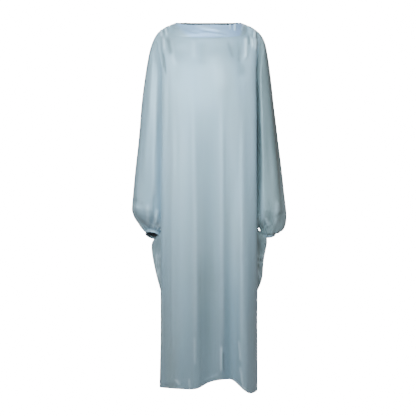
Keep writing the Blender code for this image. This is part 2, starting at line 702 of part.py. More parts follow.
def lower_columns(side, facing, seam, columns, start, above):
    """Front or back of a sleeve below its widest level: the pouch, and the part drawn into the cuff."""
    centre, out, _, front_side = cuff_frame(side)
    ring = cuff_ring(side, CUFF_RADIUS, 0.0)
    place = CUFF_PLACE[side]
    under = under_seam(side)
    ends = under + [ring[count if facing < 0 else -count] for count in range(1, CUFF_COLUMNS // 2 + 1)]
    to_middle = Vector((0.0, -facing, 0.0))
    from_joint = (under[-2] - under[-1]).normalized() - front_side * facing
    found = {columns[0]: [point.copy() for point in seam]}
    for count, index in enumerate(columns):
        if count == 0:
            continue
        end = ends[count]
        down = (start[index] - above[index]).normalized()
        reach = (end - start[index]).length
        on_cuff = count - UNDER_SEAM_COLUMNS
        on_fold = smooth(on_cuff, 0, CUFF_COLUMNS / 2)
        radial = (centre - end).normalized()
        drawn = radial * on_fold + out * (1.0 - 1.1 * on_fold)
        leave = down * (reach * 0.8 + place["drop"] * on_fold)
        arrive = to_middle * (abs(start[index].y - end.y) * (0.8 if count <= POUCH_COLUMNS else 1.2))
        if on_cuff == 0:
            arrive = from_joint.normalized() * -reach * 0.5
        if on_cuff > 0:
            arrive = drawn * (place["puff"] * (0.7 + 0.5 * on_fold))
        beside = seam_at(seam, POUCH_NECK_Z).lerp(under[POUCH_COLUMNS], 0.7 * (count / POUCH_COLUMNS) ** 1.5)
        line = []
        for row in range(HIP_ROWS + 1):
            t = row / HIP_ROWS
            gather = math.cos(2 * math.pi * CUFF_GATHERS * on_cuff / CUFF_COLUMNS)
            swell = CUFF_GATHER_RISE * gather * smooth(on_cuff, 0, 2)
            swell *= smooth(t, 0.35, 0.85) * (1 - smooth(t, 0.9, 1.0))
            if count < POUCH_COLUMNS:
                point = pouch_point(start[index], beside, end, leave, arrive, t)
            else:
                point = hermite(start[index], end, leave, arrive, t)
            line.append(point + (point - centre).normalized() * swell)
        found[index] = line
    return found


def cuff_rows(side):
    """One drawn-in cuff: a short ring of doubled cloth with its opening clear."""
    return [cuff_ring(side, CUFF_RADIUS, CUFF_HEIGHT * step / CUFF_ROWS) for step in range(CUFF_ROWS + 1)]


def sew_sleeve(side, sleeve, cuff, front, back):
    """Set one sleeve into both panels, close its under-seam and join its cuff."""
    edge = -1 if side == "left" else 0
    armhole = YOKE_ROWS + BODY_ROWS + HIP_ROWS
    cap = sleeve.row(0)
    half = len(cap) // 2
    for panel, sleeve_edge, cells in ((front, 0, cap[:half + 1]), (back, -1, cap[:half - 1:-1])):
        seam = panel.column(edge)
        sew(panel, seam[CAP_ROWS:armhole + 1], sleeve, sleeve.column(sleeve_edge))
        stations = seam[CAP_ROWS::-1]
        sew(panel, stations, sleeve, cells[::half // CAP_ROWS])
        for index in range(half):
            start, share = divmod(index, half // CAP_ROWS)
            if share:
                low, high = cells[start * half // CAP_ROWS], cells[(start + 1) * half // CAP_ROWS]
                share = share * CAP_ROWS / half
                sleeve.edge(cells[index], sleeve.moves[low].lerp(sleeve.moves[high], share),
                            sleeve.edge_normals[low].lerp(sleeve.edge_normals[high], share))
    bottom = sleeve.row(-1)
    joint = UNDER_SEAM_COLUMNS
    sew(sleeve, bottom[:joint + 1], sleeve, bottom[:-joint - 2:-1], leads=True)
    around = bottom[joint:joint + CUFF_COLUMNS]
    move, normal = sew(sleeve, around, cuff, cuff.row(0), closed=True)
    sleeve.edge(bottom[joint + CUFF_COLUMNS], move, normal)


def clear_scene():
    for item in list(bpy.data.objects):
        bpy.data.objects.remove(item, do_unlink=True)


def main():
    clear_scene()
    front = Cloth("front_panel", panel_rows(-1), outward=1)
    back = Cloth("back_panel", panel_rows(1), outward=-1)
    band_front = Cloth("neckband_front", band_rows(-1), outward=1)
    band_back = Cloth("neckband_back", band_rows(1), outward=-1)

    neck = slice(SHOULDER_COLUMNS, SHOULDER_COLUMNS + NECK_COLUMNS + 1)
    sew(front, front.row(0)[neck], band_front, band_front.row(-1))
    sew(back, back.row(0)[neck], band_back, band_back.row(-1))
    sew(front, front.row(0)[:SHOULDER_COLUMNS + 1], back, back.row(0)[:SHOULDER_COLUMNS + 1], leads=True)
    sew(front, front.row(0)[-SHOULDER_COLUMNS - 1:], back, back.row(0)[-SHOULDER_COLUMNS - 1:], leads=True)
    sew(band_front, band_front.column(0), band_back, band_back.column(0), leads=True)
    sew(band_front, band_front.column(-1), band_back, band_back.column(-1), leads=True)
    hip = YOKE_ROWS + BODY_ROWS + HIP_ROWS
    sew(front, front.column(0)[hip:], back, back.column(0)[hip:])
    sew(front, front.column(-1)[hip:], back, back.column(-1)[hip:])

    for side in ("left", "right"):
        sign = 1 if side == "left" else -1
        sleeve = Cloth("sleeve_" + side, sleeve_rows(side, front.rows, back.rows), outward=sign)
        cuff = Cloth("cuff_" + side, cuff_rows(side), outward=sign, closed=True)
        sew_sleeve(side, sleeve, cuff, front, back)
        sleeve.build(CLOTH, SATIN, SATIN_ROUGHNESS)
        cuff.build(DOUBLED_CLOTH, SATIN_BAND, CUFF_ROUGHNESS)
    front.build(CLOTH, SATIN, SATIN_ROUGHNESS)
    back.build(CLOTH, SATIN, SATIN_ROUGHNESS)
    band_front.build(DOUBLED_CLOTH, SATIN_BAND, BAND_ROUGHNESS)
    band_back.build(DOUBLED_CLOTH, SATIN_BAND, BAND_ROUGHNESS)


main()
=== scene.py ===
"""Looks of a satin prayer dress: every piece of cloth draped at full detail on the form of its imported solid.

Metres, +Z up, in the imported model's frame. The front faces -Y and the wearer's left is +X.
"""
import math

import bpy
import numpy as np
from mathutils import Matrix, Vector, kdtree, noise
from mathutils.bvhtree import BVHTree


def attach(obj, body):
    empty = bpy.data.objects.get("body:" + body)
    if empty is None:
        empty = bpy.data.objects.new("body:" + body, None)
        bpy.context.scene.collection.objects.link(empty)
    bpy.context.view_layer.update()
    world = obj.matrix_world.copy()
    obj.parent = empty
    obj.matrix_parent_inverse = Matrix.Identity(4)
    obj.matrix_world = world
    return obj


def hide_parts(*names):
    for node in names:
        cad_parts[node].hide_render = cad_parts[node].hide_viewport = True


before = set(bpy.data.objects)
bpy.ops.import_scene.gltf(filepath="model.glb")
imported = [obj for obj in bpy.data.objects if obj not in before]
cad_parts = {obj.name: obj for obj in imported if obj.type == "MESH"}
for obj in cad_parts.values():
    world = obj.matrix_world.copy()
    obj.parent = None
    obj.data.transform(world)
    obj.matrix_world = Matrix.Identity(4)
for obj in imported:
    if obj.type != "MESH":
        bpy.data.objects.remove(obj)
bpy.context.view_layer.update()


# Front panel
# One length of polyester satin from the shoulder seams to the hem, cut wide and left to fall in soft folds.
# It is gathered a little at each shoulder seam, and its sides turn back into the armholes and side seams.
CLOTH = 0.0012
CHEST_Z = -0.200
CUFF_LEVEL_Z = -0.700
HIP_Z = -1.020
HEM_Z = -1.390
SHOULDER_POINT_X = 0.198
SHOULDER_POINT_Z = -0.030
NECK_END_X = 0.150
NECK_END_Z = 0.001
NECK_SEAM_MIDDLE = {-1: (-0.094, -0.050), 1: (0.084, -0.029)}
SHOULDER_COLUMNS = 10
NECK_COLUMNS = 22
YOKE_ROWS = 7
BODY_ROWS = 9
HIP_ROWS = 10
SKIRT_ROWS = 14
SIGN = {"left": 1, "right": -1}
FLAT_SHARE = 0.78
CURVE_STEPS = 40
RETURN_STEPS = 24
NECK_STEPS = 160
LINE_STEPS = 200
BODY_FULLNESS = 0.86
NECK_FULLNESS = 0.80
NECK_SEAM_FULLNESS = 0.72
NECK_SEAM_DIP = 0.42
SEAM_TUCK = 0.004
HOOK_BEND = 0.8
LEAST_HOOK = 0.001
FLAT_ARRIVAL = 0.4
HEM_START_Z = -1.10
YOKE_LEAVE_DOWN = -0.95
YOKE_LEAVE_FLATTER = 0.45
YOKE_LEAVE_FORWARD = 0.25
YOKE_LEAVE_OUT = 0.10
YOKE_BULGE = 0.55
YOKE_ARRIVE_FORWARD = 0.10
YOKE_TIP_POWER = 5
YOKE_TIP_START_X = 0.08
YOKE_BESIDE_NECK_X = 0.12
YOKE_BESIDE_SHOULDER_X = 0.185
SHOULDER_DROP_POWER = 1.35
# Painted light of the creases: a crease of full height gets its whole painted highlight on a ridge and painted
# shade in a trough, a short crease more of it than a long one.
FULL_CREASE = 0.0045
SHORT_CREASE = 0.13
SHORT_CREASE_PAINTED_LIGHT = 1.3
LONG_CREASE_PAINTED_LIGHT = 0.30
CREASE_FADE = 0.22
SEAM_REACH = 6
PUCKER_FADE = 0.9
PUCKER_DRIFT = 1.7
PUCKER_DRIFT_PACE = 1.3
SLACK_DETAIL = 0.45
SLACK_FINER = 2.3
SEAM_STEP = 0.002
SHARP_EDGE = 50
SHOULDER_FADE = 0.8
SHOULDER_FADE_X = (0.07, 0.12)
PANEL_SLACK_START = (0.06, 0.25)

# Seams sink in by their depth over their half width, and pucker beside it at their pitch.
SIDE_SEAM = dict(depth=0.0010, half=0.0040, pucker=0.0005, pitch=0.021)
NECK_SEAM = dict(depth=0.0010, half=0.0035, pucker=0.0004, pitch=0.014)
HEM_SEAM = dict(depth=0.0003, half=0.0040, pucker=0.0007, pitch=0.026)
PANEL_SLACK = dict(across=26.0, down=2.6, height=0.0011)


def table(columns, rows):
    """The rows of a table as dicts, by the names of its columns."""
    return [dict(zip(columns.split(), row)) for row in rows]


def millimetres(columns, rows):
    """The rows of a table that is written in millimetres, as dicts of metres."""
    return [{name: value / 1000 for name, value in row.items()} for row in table(columns, rows)]


# Levels down the body. The corner is where a panel turns back into the armhole, seam is the armhole or side
# seam, and deep is how far that seam lies from the side's middle. Widths are for the wearer's left and right,
# depths run forward for the front and backward for the back.
BODY_LEVELS = millimetres(
    "z corner_left corner_right front back corner_depth seam_left seam_right deep_left deep_right hook", [
        (-200, 183, 176, 128, 112, 86, 181.5, 175, 62, 78, 6),
        (-300, 184, 176, 138, 116, 98, 183, 176, 58, 87, 10),
        (-500, 184, 178, 142, 114, 102, 186, 179, 52, 88, 10),
        (-700, 185, 181, 145, 122, 96, 182, 178, 50, 70, 9),
        (-820, 186, 182, 147, 130, 86, 172, 167, 36, 38, 7),
        (-920, 187, 183, 148, 133, 70, 180, 176, 26, 26, 4),
        (-1020, 187, 183, 150, 136, 50, 188, 184, -0.8, -0.8, 0),
        (-1120, 187, 183, 152, 140, 30, 187, 183, 0, 0, 0),
        (-1420, 187, 187, 152, 146, 30, 186, 188, 0, 0, 0),
    ])

# Soft vertical folds: x at the top and at the hem, where they start and are full, half width, height outward
FRONT_FOLDS = millimetres("top hem start full width rise", [
    (-112, -122, -450, -1300, 24, 12),
    (-50, -50, -300, -1250, 28, 16),
    (20, 12, -350, -1250, 24, -12),
    (58, 50, -500, -1100, 20, 10),
    (86, 86, -400, -1350, 28, -36),
    (128, 146, -300, -1350, 30, 30),
])
BACK_FOLDS = millimetres("top hem start full width rise", [
    (-120, -138, -500, -1300, 26, 18),
    (-80, -88, -350, -1250, 24, -16),
    (-30, -30, -300, -1300, 30, 18),
    (22, 26, -400, -1200, 24, -20),
    (70, 82, -320, -1300, 28, 20),
    (112, 128, -450, -1250, 22, -12),
])

# The hem's height at stations across, front and back
FRONT_HEM = millimetres("x z", [
    (-190, -1386), (-120, -1388), (-70, -1390), (-43, -1387), (9, -1361), (50, -1353), (85, -1352),
    (110, -1370), (135, -1394), (160, -1407), (180, -1402), (190, -1394),
])
BACK_HEM = millimetres("x z", [
    (-190, -1386), (-140, -1382), (-88, -1372), (-30, -1376), (22, -1350), (60, -1344), (90, -1343),
    (125, -1372), (160, -1390), (190, -1394),
])

# Creases as the cloth hangs: from (x0, z0) to (x1, z1), half width, height outward and sideways bow. The
# height also paints light on the satin's colour: a painted highlight on a ridge and painted shade in a trough.
FRONT_CREASES = millimetres("x0 z0 x1 z1 half rise bow", [
    (-138, -300, -138, -1370, 10, 1.6, 6),
    (-62, -200, -47, -1360, 12, 3.4, 4),
    (52, -240, 54, -1330, 11, 3.4, -3),
    (128, -280, 122, -1330, 10, 2.6, 3),
    (-10, -300, 4, -1340, 34, -4, 6),
    (-98, -300, -100, -1340, 26, 2, -4),
    (92, -260, 88, -1100, 22, 2, 3),
    (-172, -110, -174, -700, 7, 1.8, -3),
    (-156, -130, -160, -520, 9, -1.4, 2),
    (85, -60, 150, -210, 26, -5.6, 6),
    (74, -56, 96, -130, 7, -1.2, 1),
    (112, -56, 120, -120, 6, -1.2, 1),
    (-58, -52, -54, -135, 9, 0.8, 1),
    (-20, -52, -24, -160, 18, -1.2, 1),
    (20, -90, 75, -260, 30, 2.2, -4),
    (-96, -70, -132, -240, 22, -2.6, -5),
    (-162, -40, -144, -118, 7.5, -4.4, 3),
    (-172, -45, -168, -100, 5, 2.4, 1),
    (-177, -110, -171, -170, 5, -2, 1),
    (-150, -55, -128, -170, 10, 1, 3),
    (-176, -100, -163, -195, 4, -3, -1),
    (163, -38, 170, -90, 5, 3, 1),
    (144, -42, 142, -135, 6, 3.4, -1),
    (156, -35, 157, -80, 4, -3, 0),
    (181, -45, 177, -100, 5, 2.8, 1),
    (131, -55, 120, -150, 8, -1.8, -2),
    (-185, -1375, -120, -1372, 6, -1.2, 1),
    (-128, -1352, -108, -1374, 4, 2.8, 2),
    (-73, -1345, -70, -1386, 4, 2.2, -1),
    (-52, -1180, -50, -1305, 4, 1.4, -1),
    (-18, -1358, 42, -1330, 5, 1.8, 2),
    (48, -1215, 50, -1335, 4, 4, 0),
    (57, -1240, 58, -1335, 4, -2.2, 0),
    (114, -1195, 122, -1290, 4, 2, 1),
    (119, -1295, 132, -1390, 4, 2, 1),
    (132, -1380, 140, -1402, 4, 3.4, 0),
    (-183, -14, -178, -46, 3.4, 4.6, 1),
    (-166, -10, -160, -40, 3.4, 4.6, 1),
    (-175, -12, -169, -44, 3.4, -3.6, 1),
    (176, -14, 176, -50, 3.4, 4.8, 0),
    (186, -20, 188, -56, 3.4, -3.6, 0),
    (166, -18, 166, -60, 3.4, -3, 0),
    (-141, -500, -139, -1380, 4.5, 1.2, 2),
    (-48, -700, -52, -1380, 4.5, 1.3, 2),
    (56, -360, 55, -1340, 4.5, 1.4, -1),
    (126, -600, 127, -1360, 4.5, 1.3, 1),
    (-30, -850, -24, -1370, 6, -1.2, 1),
    (30, -800, 26, -1350, 6, 1, 1),
    (-165, -700, -168, -1360, 5, -1, 1),
    (104, -950, 106, -1360, 5, -1.3, 1),
    (-4, -850, 2, -1500, 45, -5, 1),
])


def smooth(value, start, end):
    """Rise evenly from 0 at start to 1 at end, flat at both, for a number or an array."""
    t = np.clip((value - start) / (end - start), 0.0, 1.0)
    return t * t * (3.0 - 2.0 * t)


def read_table(levels, key, name, value):
    """Read one column of a table at a value of its key column, along a smooth curve through the rows."""
    rows = sorted(levels, key=lambda row: row[key])
    value = min(max(value, rows[0][key]), rows[-1][key])
    index = 0
    while index < len(rows) - 2 and value > rows[index + 1][key]:
        index += 1
    low, high = rows[index], rows[index + 1]
    span = high[key] - low[key]
    step = (high[name] - low[name]) / span

    def slope(at):
        if at == 0 or at == len(rows) - 1:
            return step
        before = (rows[at][name] - rows[at - 1][name]) / (rows[at][key] - rows[at - 1][key])
        after = (rows[at + 1][name] - rows[at][name]) / (rows[at + 1][key] - rows[at][key])
        if before * after <= 0.0:
            return 0.0
        return 2.0 * before * after / (before + after)

    t = (value - low[key]) / span
    return hermite(low[name], high[name], slope(index) * span, slope(index + 1) * span, t)


def hermite(start, end, leave, arrive, t):
    """Cubic from start to end with the given tangents, for numbers and vectors."""
    return (start * (2 * t**3 - 3 * t**2 + 1) + leave * (t**3 - 2 * t**2 + t)
            + end * (3 * t**2 - 2 * t**3) + arrive * (t**3 - t**2))


def along(points, count):
    """Divide a line of points into count equal lengths."""
    lengths = [0.0]
    for before, after in zip(points, points[1:]):
        lengths.append(lengths[-1] + (after - before).length)
    found = []
    index = 0
    for step in range(count + 1):
        target = lengths[-1] * step / count
        while index < len(points) - 2 and lengths[index + 1] < target:
            index += 1
        share = (target - lengths[index]) / max(lengths[index + 1] - lengths[index], 1e-12)
        found.append(points[index].lerp(points[index + 1], min(max(share, 0.0), 1.0)))
    return found


def body_value(name, z):
    return read_table(BODY_LEVELS, "z", name, z)


def fold_rise(folds, across, z):
    """Height of all the folds together at a place across the cloth and a level."""
    total = 0.0
    for fold in folds:
        share = smooth(-z, -fold["start"], -fold["full"])
        middle = fold["top"] + (fold["hem"] - fold["top"]) * smooth(-z, -fold["start"], -HEM_Z)
        total += fold["rise"] * share * math.exp(-((across - middle) / fold["width"]) ** 2)
    return total


def quarter_round(middle, side, fullness):
    """A level curve from the middle of a face round to its side, fuller than an ellipse's quarter."""
    line = []
    for step in range(CURVE_STEPS + 1):
        angle = math.pi / 2 * step / CURVE_STEPS
        x = middle.x + (side.x - middle.x) * math.sin(angle) ** fullness
        y = side.y + (middle.y - side.y) * max(math.cos(angle), 0.0) ** fullness
        line.append(Vector((x, y, middle.z)))
    return line


def half_level(side, facing, z):
    """Half of a panel's line at one level: from its middle out to its corner, and the return to the seam."""
    depth = body_value("front" if facing < 0 else "back", z)
    share = depth / body_value("front", z)
    corner = body_value("corner_" + side, z)
    corner_depth = body_value("corner_depth", z) * share
    seam_x = body_value("seam_" + side, z)
    seam_depth = min(body_value("deep_" + side, z), max(corner_depth - SEAM_TUCK, 0.0))
    hook = body_value("hook", z)
    start = Vector((corner, corner_depth * facing, z))
    front = quarter_round(Vector((0.0, depth * facing, z)), start, BODY_FULLNESS)
    end = Vector((seam_x, seam_depth * facing, z))
    fall = (seam_depth - corner_depth) * facing
    bend = Vector((corner - hook * HOOK_BEND, start.y + fall * 0.5, z))
    arrive = Vector((seam_x - hook, end.y - (0.0 if hook > LEAST_HOOK else fall * FLAT_ARRIVAL), z))
    back = []
    for step in range(RETURN_STEPS + 1):
        t = step / RETURN_STEPS
        toward_seam = arrive * 3 * t * t * (1 - t) + end * t**3
        back.append(start * (1 - t) ** 3 + bend * 3 * t * (1 - t) ** 2 + toward_seam)
    return front, back


def panel_level(facing, z):
    """A panel's whole line at one level, from the wearer's right seam to the left, with its folds."""
    shoulder_half = SHOULDER_COLUMNS // 2
    return_columns = SHOULDER_COLUMNS - shoulder_half
    folds = FRONT_FOLDS if facing < 0 else BACK_FOLDS
    hem = FRONT_HEM if facing < 0 else BACK_HEM
    halves = {}
    for side in ("right", "left"):
        front, back = half_level(side, facing, z)
        fine = along(front, LINE_STEPS)
        cut = int(LINE_STEPS * FLAT_SHARE)
        line = along(fine[:cut + 1], NECK_COLUMNS // 2) + along(fine[cut:], shoulder_half)[1:]
        line += along(back, return_columns)[1:]
        if side == "right":
            line = [Vector((-point.x, point.y, point.z)) for point in line]
        halves[side] = line
    whole = halves["right"][::-1] + halves["left"][1:]
    shaped = []
    for index, point in enumerate(whole):
        from_edge = min(index, len(whole) - 1 - index)
        loose = smooth(from_edge, 1, return_columns + 1)
        rise = fold_rise(folds, point.x, z) * loose
        hem_share = smooth(-z, -HEM_START_Z, -HEM_Z) ** 2
        drop = (read_table(hem, "x", "z", point.x) - HEM_Z) * hem_share
        shaped.append(Vector((point.x, point.y + rise * facing, z + drop)))
    return shaped


def neck_curve(end_x, middle_y, fullness, height):
    """Half of the boat neck, from the wearer's right end to the left, with its height for each place."""
    line = []
    for step in range(NECK_STEPS + 1):
        angle = math.pi * (step / NECK_STEPS - 0.5)
        out, ahead = abs(math.sin(angle)), max(math.cos(angle), 0.0)
        x = end_x * math.copysign(out ** fullness, angle)
        line.append(Vector((x, middle_y * ahead ** NECK_FULLNESS, height(out, ahead))))
    return along(line, NECK_COLUMNS)


def neck_seam(facing):
    """The seam below one half of the neckband, from the wearer's right neck end to the left."""
    seam_y, seam_z = NECK_SEAM_MIDDLE[facing]
    return neck_curve(NECK_END_X, seam_y, NECK_SEAM_FULLNESS,
                      lambda out, ahead: seam_z + (NECK_END_Z - seam_z) * (1.0 - ahead ** NECK_SEAM_DIP))


def shoulder_point(side, share):
    """A point of the shoulder seam, from the neck end out to the top of the armhole."""
    x = NECK_END_X + (SHOULDER_POINT_X - NECK_END_X) * share
    z = NECK_END_Z + (SHOULDER_POINT_Z - NECK_END_Z) * share ** SHOULDER_DROP_POWER
    return Vector((SIGN[side] * x, 0.0, z))


def top_edge(facing):
    """A panel's upper edge from the wearer's right armhole over the neck seam to the left armhole."""
    right = [shoulder_point("right", 1 - step / SHOULDER_COLUMNS) for step in range(SHOULDER_COLUMNS)]
    left = [shoulder_point("left", (step + 1) / SHOULDER_COLUMNS) for step in range(SHOULDER_COLUMNS)]
    return right + neck_seam(facing) + left


def station_levels():
    """Levels of the rows below the chest: down the armhole, past the cuff to the hip, and down the skirt."""
    levels = []
    top = CHEST_Z
    for bottom, rows in ((CUFF_LEVEL_Z, BODY_ROWS), (HIP_Z, HIP_ROWS), (HEM_Z, SKIRT_ROWS)):
        levels += [top + (bottom - top) * step / rows for step in range(1, rows + 1)]
        top = bottom
    return levels


def panel_rows(facing):
    """All the rows of a panel, from its upper edge to the hem."""
    edge = top_edge(facing)
    chest = panel_level(facing, CHEST_Z)
    rows = []
    for row in range(YOKE_ROWS):
        line = []
        for top, low in zip(edge, chest):
            share = min(abs(top.x) / NECK_END_X, 1.0) ** YOKE_TIP_POWER
            reach = (low - top).length
            beside_neck = smooth(abs(top.x), YOKE_BESIDE_NECK_X, NECK_END_X)
            beside_neck *= 1.0 - smooth(abs(top.x), NECK_END_X, YOKE_BESIDE_SHOULDER_X)
            out = math.copysign(YOKE_LEAVE_OUT + YOKE_BULGE * beside_neck, top.x)
            out *= smooth(abs(top.x), YOKE_TIP_START_X, YOKE_BESIDE_NECK_X)
            forward = facing * (YOKE_LEAVE_FORWARD + YOKE_BULGE * share)
            leave = Vector((out, forward, YOKE_LEAVE_DOWN + YOKE_LEAVE_FLATTER * share)) * reach
            arrive = Vector((0.0, facing * YOKE_ARRIVE_FORWARD, -1.0)) * reach
            line.append(hermite(top, low, leave, arrive, row / YOKE_ROWS))
        rows.append(line)
    rows.append(chest)
    return rows + [panel_level(facing, z) for z in station_levels()]


def only(piece):
    """Select one piece alone, which the next operator then works on."""
    bpy.ops.object.select_all(action="DESELECT")
    piece.select_set(True)
    bpy.context.view_layer.objects.active = piece


def lay_cloth(name, rows, outward, finer, closed=False):
    """Lay a cut piece out as a flat grid, drape its crossings on the rows, and round it to a fine cloth."""
    rows = [row + [row[0]] if closed else row for row in rows]
    width, height = len(rows[0]), len(rows)
    bpy.ops.object.select_all(action="DESELECT")
    bpy.ops.mesh.primitive_grid_add(x_subdivisions=width - 1, y_subdivisions=height - 1, size=1.0)
    piece = bpy.context.object
    piece.name = piece.data.name = name
    mesh = piece.data
    across = [[0.0] for row in rows]
    down = [[0.0] * width]
    for index, row in enumerate(rows):
        for left, right in zip(row, row[1:]):
            across[index].append(across[index][-1] + (right - left).length)
        if index:
            steps = [(low - high).length for low, high in zip(row, rows[index - 1])]
            down.append([so_far + step for so_far, step in zip(down[-1], steps)])
    places = mesh.uv_layers.active.data
    for loop in mesh.loops:
        row, column = divmod(loop.vertex_index, width)
        places[loop.index].uv = (across[row][column] - across[row][-1] / 2, -down[row][column])
    for vertex in mesh.vertices:
        row, column = divmod(vertex.index, width)
        vertex.co = rows[row][column]
    only(piece)
    bpy.ops.object.mode_set(mode="EDIT")
    bpy.ops.mesh.select_all(action="SELECT")
    if outward > 0:
        bpy.ops.mesh.flip_normals()
    if closed:
        bpy.ops.mesh.remove_doubles(threshold=0.00001)
    bpy.ops.object.mode_set(mode="OBJECT")
    rounded = piece.modifiers.new("rounded", "SUBSURF")
    rounded.levels = rounded.render_levels = finer
    rounded.boundary_smooth = "PRESERVE_CORNERS"
    bpy.ops.object.modifier_apply(modifier=rounded.name)
    return piece


def read_points(piece, what="co"):
    """The place of every point of a piece, or its outward normal, as an array."""
    values = np.empty(len(piece.data.vertices) * 3)
    piece.data.vertices.foreach_get(what, values)
    return values.reshape(-1, 3)


def below(points, start, end):
    """Share of a change that starts at one depth below the origin and is whole at another."""
    return smooth(-points[:, 2], start, end)


def crease_heights(points, creases):
    """Height that creases give each point, and their painted light: a painted highlight on a ridge and painted
    shade in a trough. Soft at the sides and fading out at the ends.
    """
    total = np.zeros(len(points))
    painted_light = np.zeros(len(points))
    for crease in creases:
        start = np.array((crease["x0"], crease["z0"]))
        run = np.array((crease["x1"], crease["z1"])) - start
        length = np.linalg.norm(run)
        ahead = run / length
        offset = points[:, (0, 2)] - start
        t = offset @ ahead / length
        bowed = np.clip(t, 0.0, 1.0)
        aside = offset @ np.array((-ahead[1], ahead[0])) - crease["bow"] * 4 * bowed * (1 - bowed)
        fade = smooth(t, 0.0, CREASE_FADE) * (1.0 - smooth(t, 1.0 - CREASE_FADE, 1.0))
        raised = crease["rise"] * fade * np.exp(-((aside / crease["half"]) ** 2))
        total += raised
        painted_light += raised / FULL_CREASE * (SHORT_CREASE_PAINTED_LIGHT if length < SHORT_CREASE else LONG_CREASE_PAINTED_LIGHT)
    return total, painted_light


def mark_painted_light(piece, painted_light):
    """Keep the painted light on the cloth for its satin's colour, from -1 for the darkest painted shade, as in
    the deepest trough, to 1 for the brightest painted highlight, as on the highest ridge.
    """
    painted_crease_light = piece.data.attributes.new("painted_crease_light", "FLOAT", "POINT")
    painted_crease_light.data.foreach_set("value", np.clip(painted_light, -1.0, 1.0).astype(np.float32))


def slack_heights(points, across, down, height, seed):
    """Slow unevenness of hanging cloth: long down the fall of the folds and short across them."""
    found = np.empty(len(points))
    for index, (x, y, z) in enumerate(points):
        place = Vector((x * across + seed, y * across, z * down))
        found[index] = noise.noise(place) + SLACK_DETAIL * noise.noise(place * SLACK_FINER)
    return found * height


def seam_heights(points, seam, depth, half, pucker, pitch):
    """The seam's own line sinks in, and the cloth beside it puckers in small waves."""
    length = sum((b - a).length for a, b in zip(seam, seam[1:]))
    line = along(seam, max(int(length / SEAM_STEP), 8))
    tree = kdtree.KDTree(len(line))
    for index, place in enumerate(line):
        tree.insert(place, index)
    tree.balance()
    found = np.zeros(len(points))
    for index, point in enumerate(points):
        place, at, away = tree.find(point)
        if away > half * SEAM_REACH:
            continue
        run = at * SEAM_STEP
        drift = PUCKER_DRIFT * math.sin(run / pitch * PUCKER_DRIFT_PACE)
        wave = math.sin(2 * math.pi * run / pitch + drift)
        near = away / half
        found[index] = -depth * math.exp(-near * near) + pucker * wave * near * math.exp(-near * PUCKER_FADE)
    return found


def sides(rows):
    """The two side edges of a grid of cloth."""
    return [row[0] for row in rows], [row[-1] for row in rows]


def give_wall(piece, heights, thickness, face, shaded_reverse, dull_shaded_edge=False):
    """Move a piece's points out by their heights and give it its thickness, the satin's dull reverse inward,
    its colour darkened as painted shade for the inside.
    """
    points = read_points(piece) + read_points(piece, "normal") * heights[:, None]
    piece.data.vertices.foreach_set("co", points.ravel())
    piece.data.update()
    only(piece)
    piece.data.materials.append(face)
    piece.data.materials.append(shaded_reverse)
    wall = piece.modifiers.new("wall", "SOLIDIFY")
    wall.thickness = thickness
    wall.offset = 0.0
    wall.material_offset = 1
    wall.material_offset_rim = 1 if dull_shaded_edge else 0
    bpy.ops.object.modifier_apply(modifier=wall.name)
    bpy.ops.object.shade_smooth_by_angle(angle=math.radians(SHARP_EDGE))


def put_in_place(piece, node):
    """Let a finished piece take its solid's place: hang it from the root and hide the solid."""
    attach(piece, "root")
    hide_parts(node)


def new_group(name, inputs, outputs):
    """A shader node group with named sockets, its input node and its output node."""
    group = bpy.data.node_groups.new(name, "ShaderNodeTree")
    for in_out, sockets in (("INPUT", inputs), ("OUTPUT", outputs)):
        for socket, kind in sockets.items():
            group.interface.new_socket(name=socket, in_out=in_out, socket_type="NodeSocket" + kind)
    return group, group.nodes.new("NodeGroupInput"), group.nodes.new("NodeGroupOutput")


def join(tree, node, values):
    """Give a node's inputs their values: a socket is linked, a number or a colour is set."""
    for name, value in values.items():
        if isinstance(value, bpy.types.NodeSocket):
            tree.links.new(value, node.inputs[name])
        else:
            node.inputs[name].default_value = value


def add(tree, kind, values, **settings):
    """Add a node to a shader's tree, with its settings and the values of its inputs."""
    node = tree.nodes.new("ShaderNode" + kind)
    for name, setting in settings.items():
        setattr(node, name, setting)
    join(tree, node, values)
    return node


def tinted(tree, share, under, over):
    """Lay a share of one colour over another, and give the socket of the mixed colour."""
    return add(tree, "Mix", {0: share, 6: under, 7: over}, data_type="RGBA").outputs[2]


# Satin's threads: long fine floats down the cloth, with slubs, that catch the light in faint upright lines
satin_threads, given, made = new_group(
    "satin_threads", {"Cloth Place": "Vector", "Thread Count": "Float"}, {"Height": "Float", "Slub": "Float"})
place = given.outputs["Cloth Place"]
thread_count = given.outputs["Thread Count"]
scaled = add(satin_threads, "VectorMath", {0: place, "Scale": thread_count}, operation="SCALE")
wave = {"Vector": scaled.outputs[0], "Scale": 1.0, "Distortion": 0.6, "Detail": 1.0}
threads = add(satin_threads, "TexWave", wave)
long_floats = add(satin_threads, "Mapping", {"Vector": place, "Scale": (900.0, 60.0, 1.0)})
slub = add(satin_threads, "TexNoise", {"Vector": long_floats.outputs[0], "Scale": 1.0, "Detail": 3.0})
height = add(satin_threads, "Mix", {0: 0.55, 2: threads.outputs["Fac"], 3: slub.outputs["Fac"]})
join(satin_threads, made, {"Height": height.outputs[0], "Slub": slub.outputs["Fac"]})

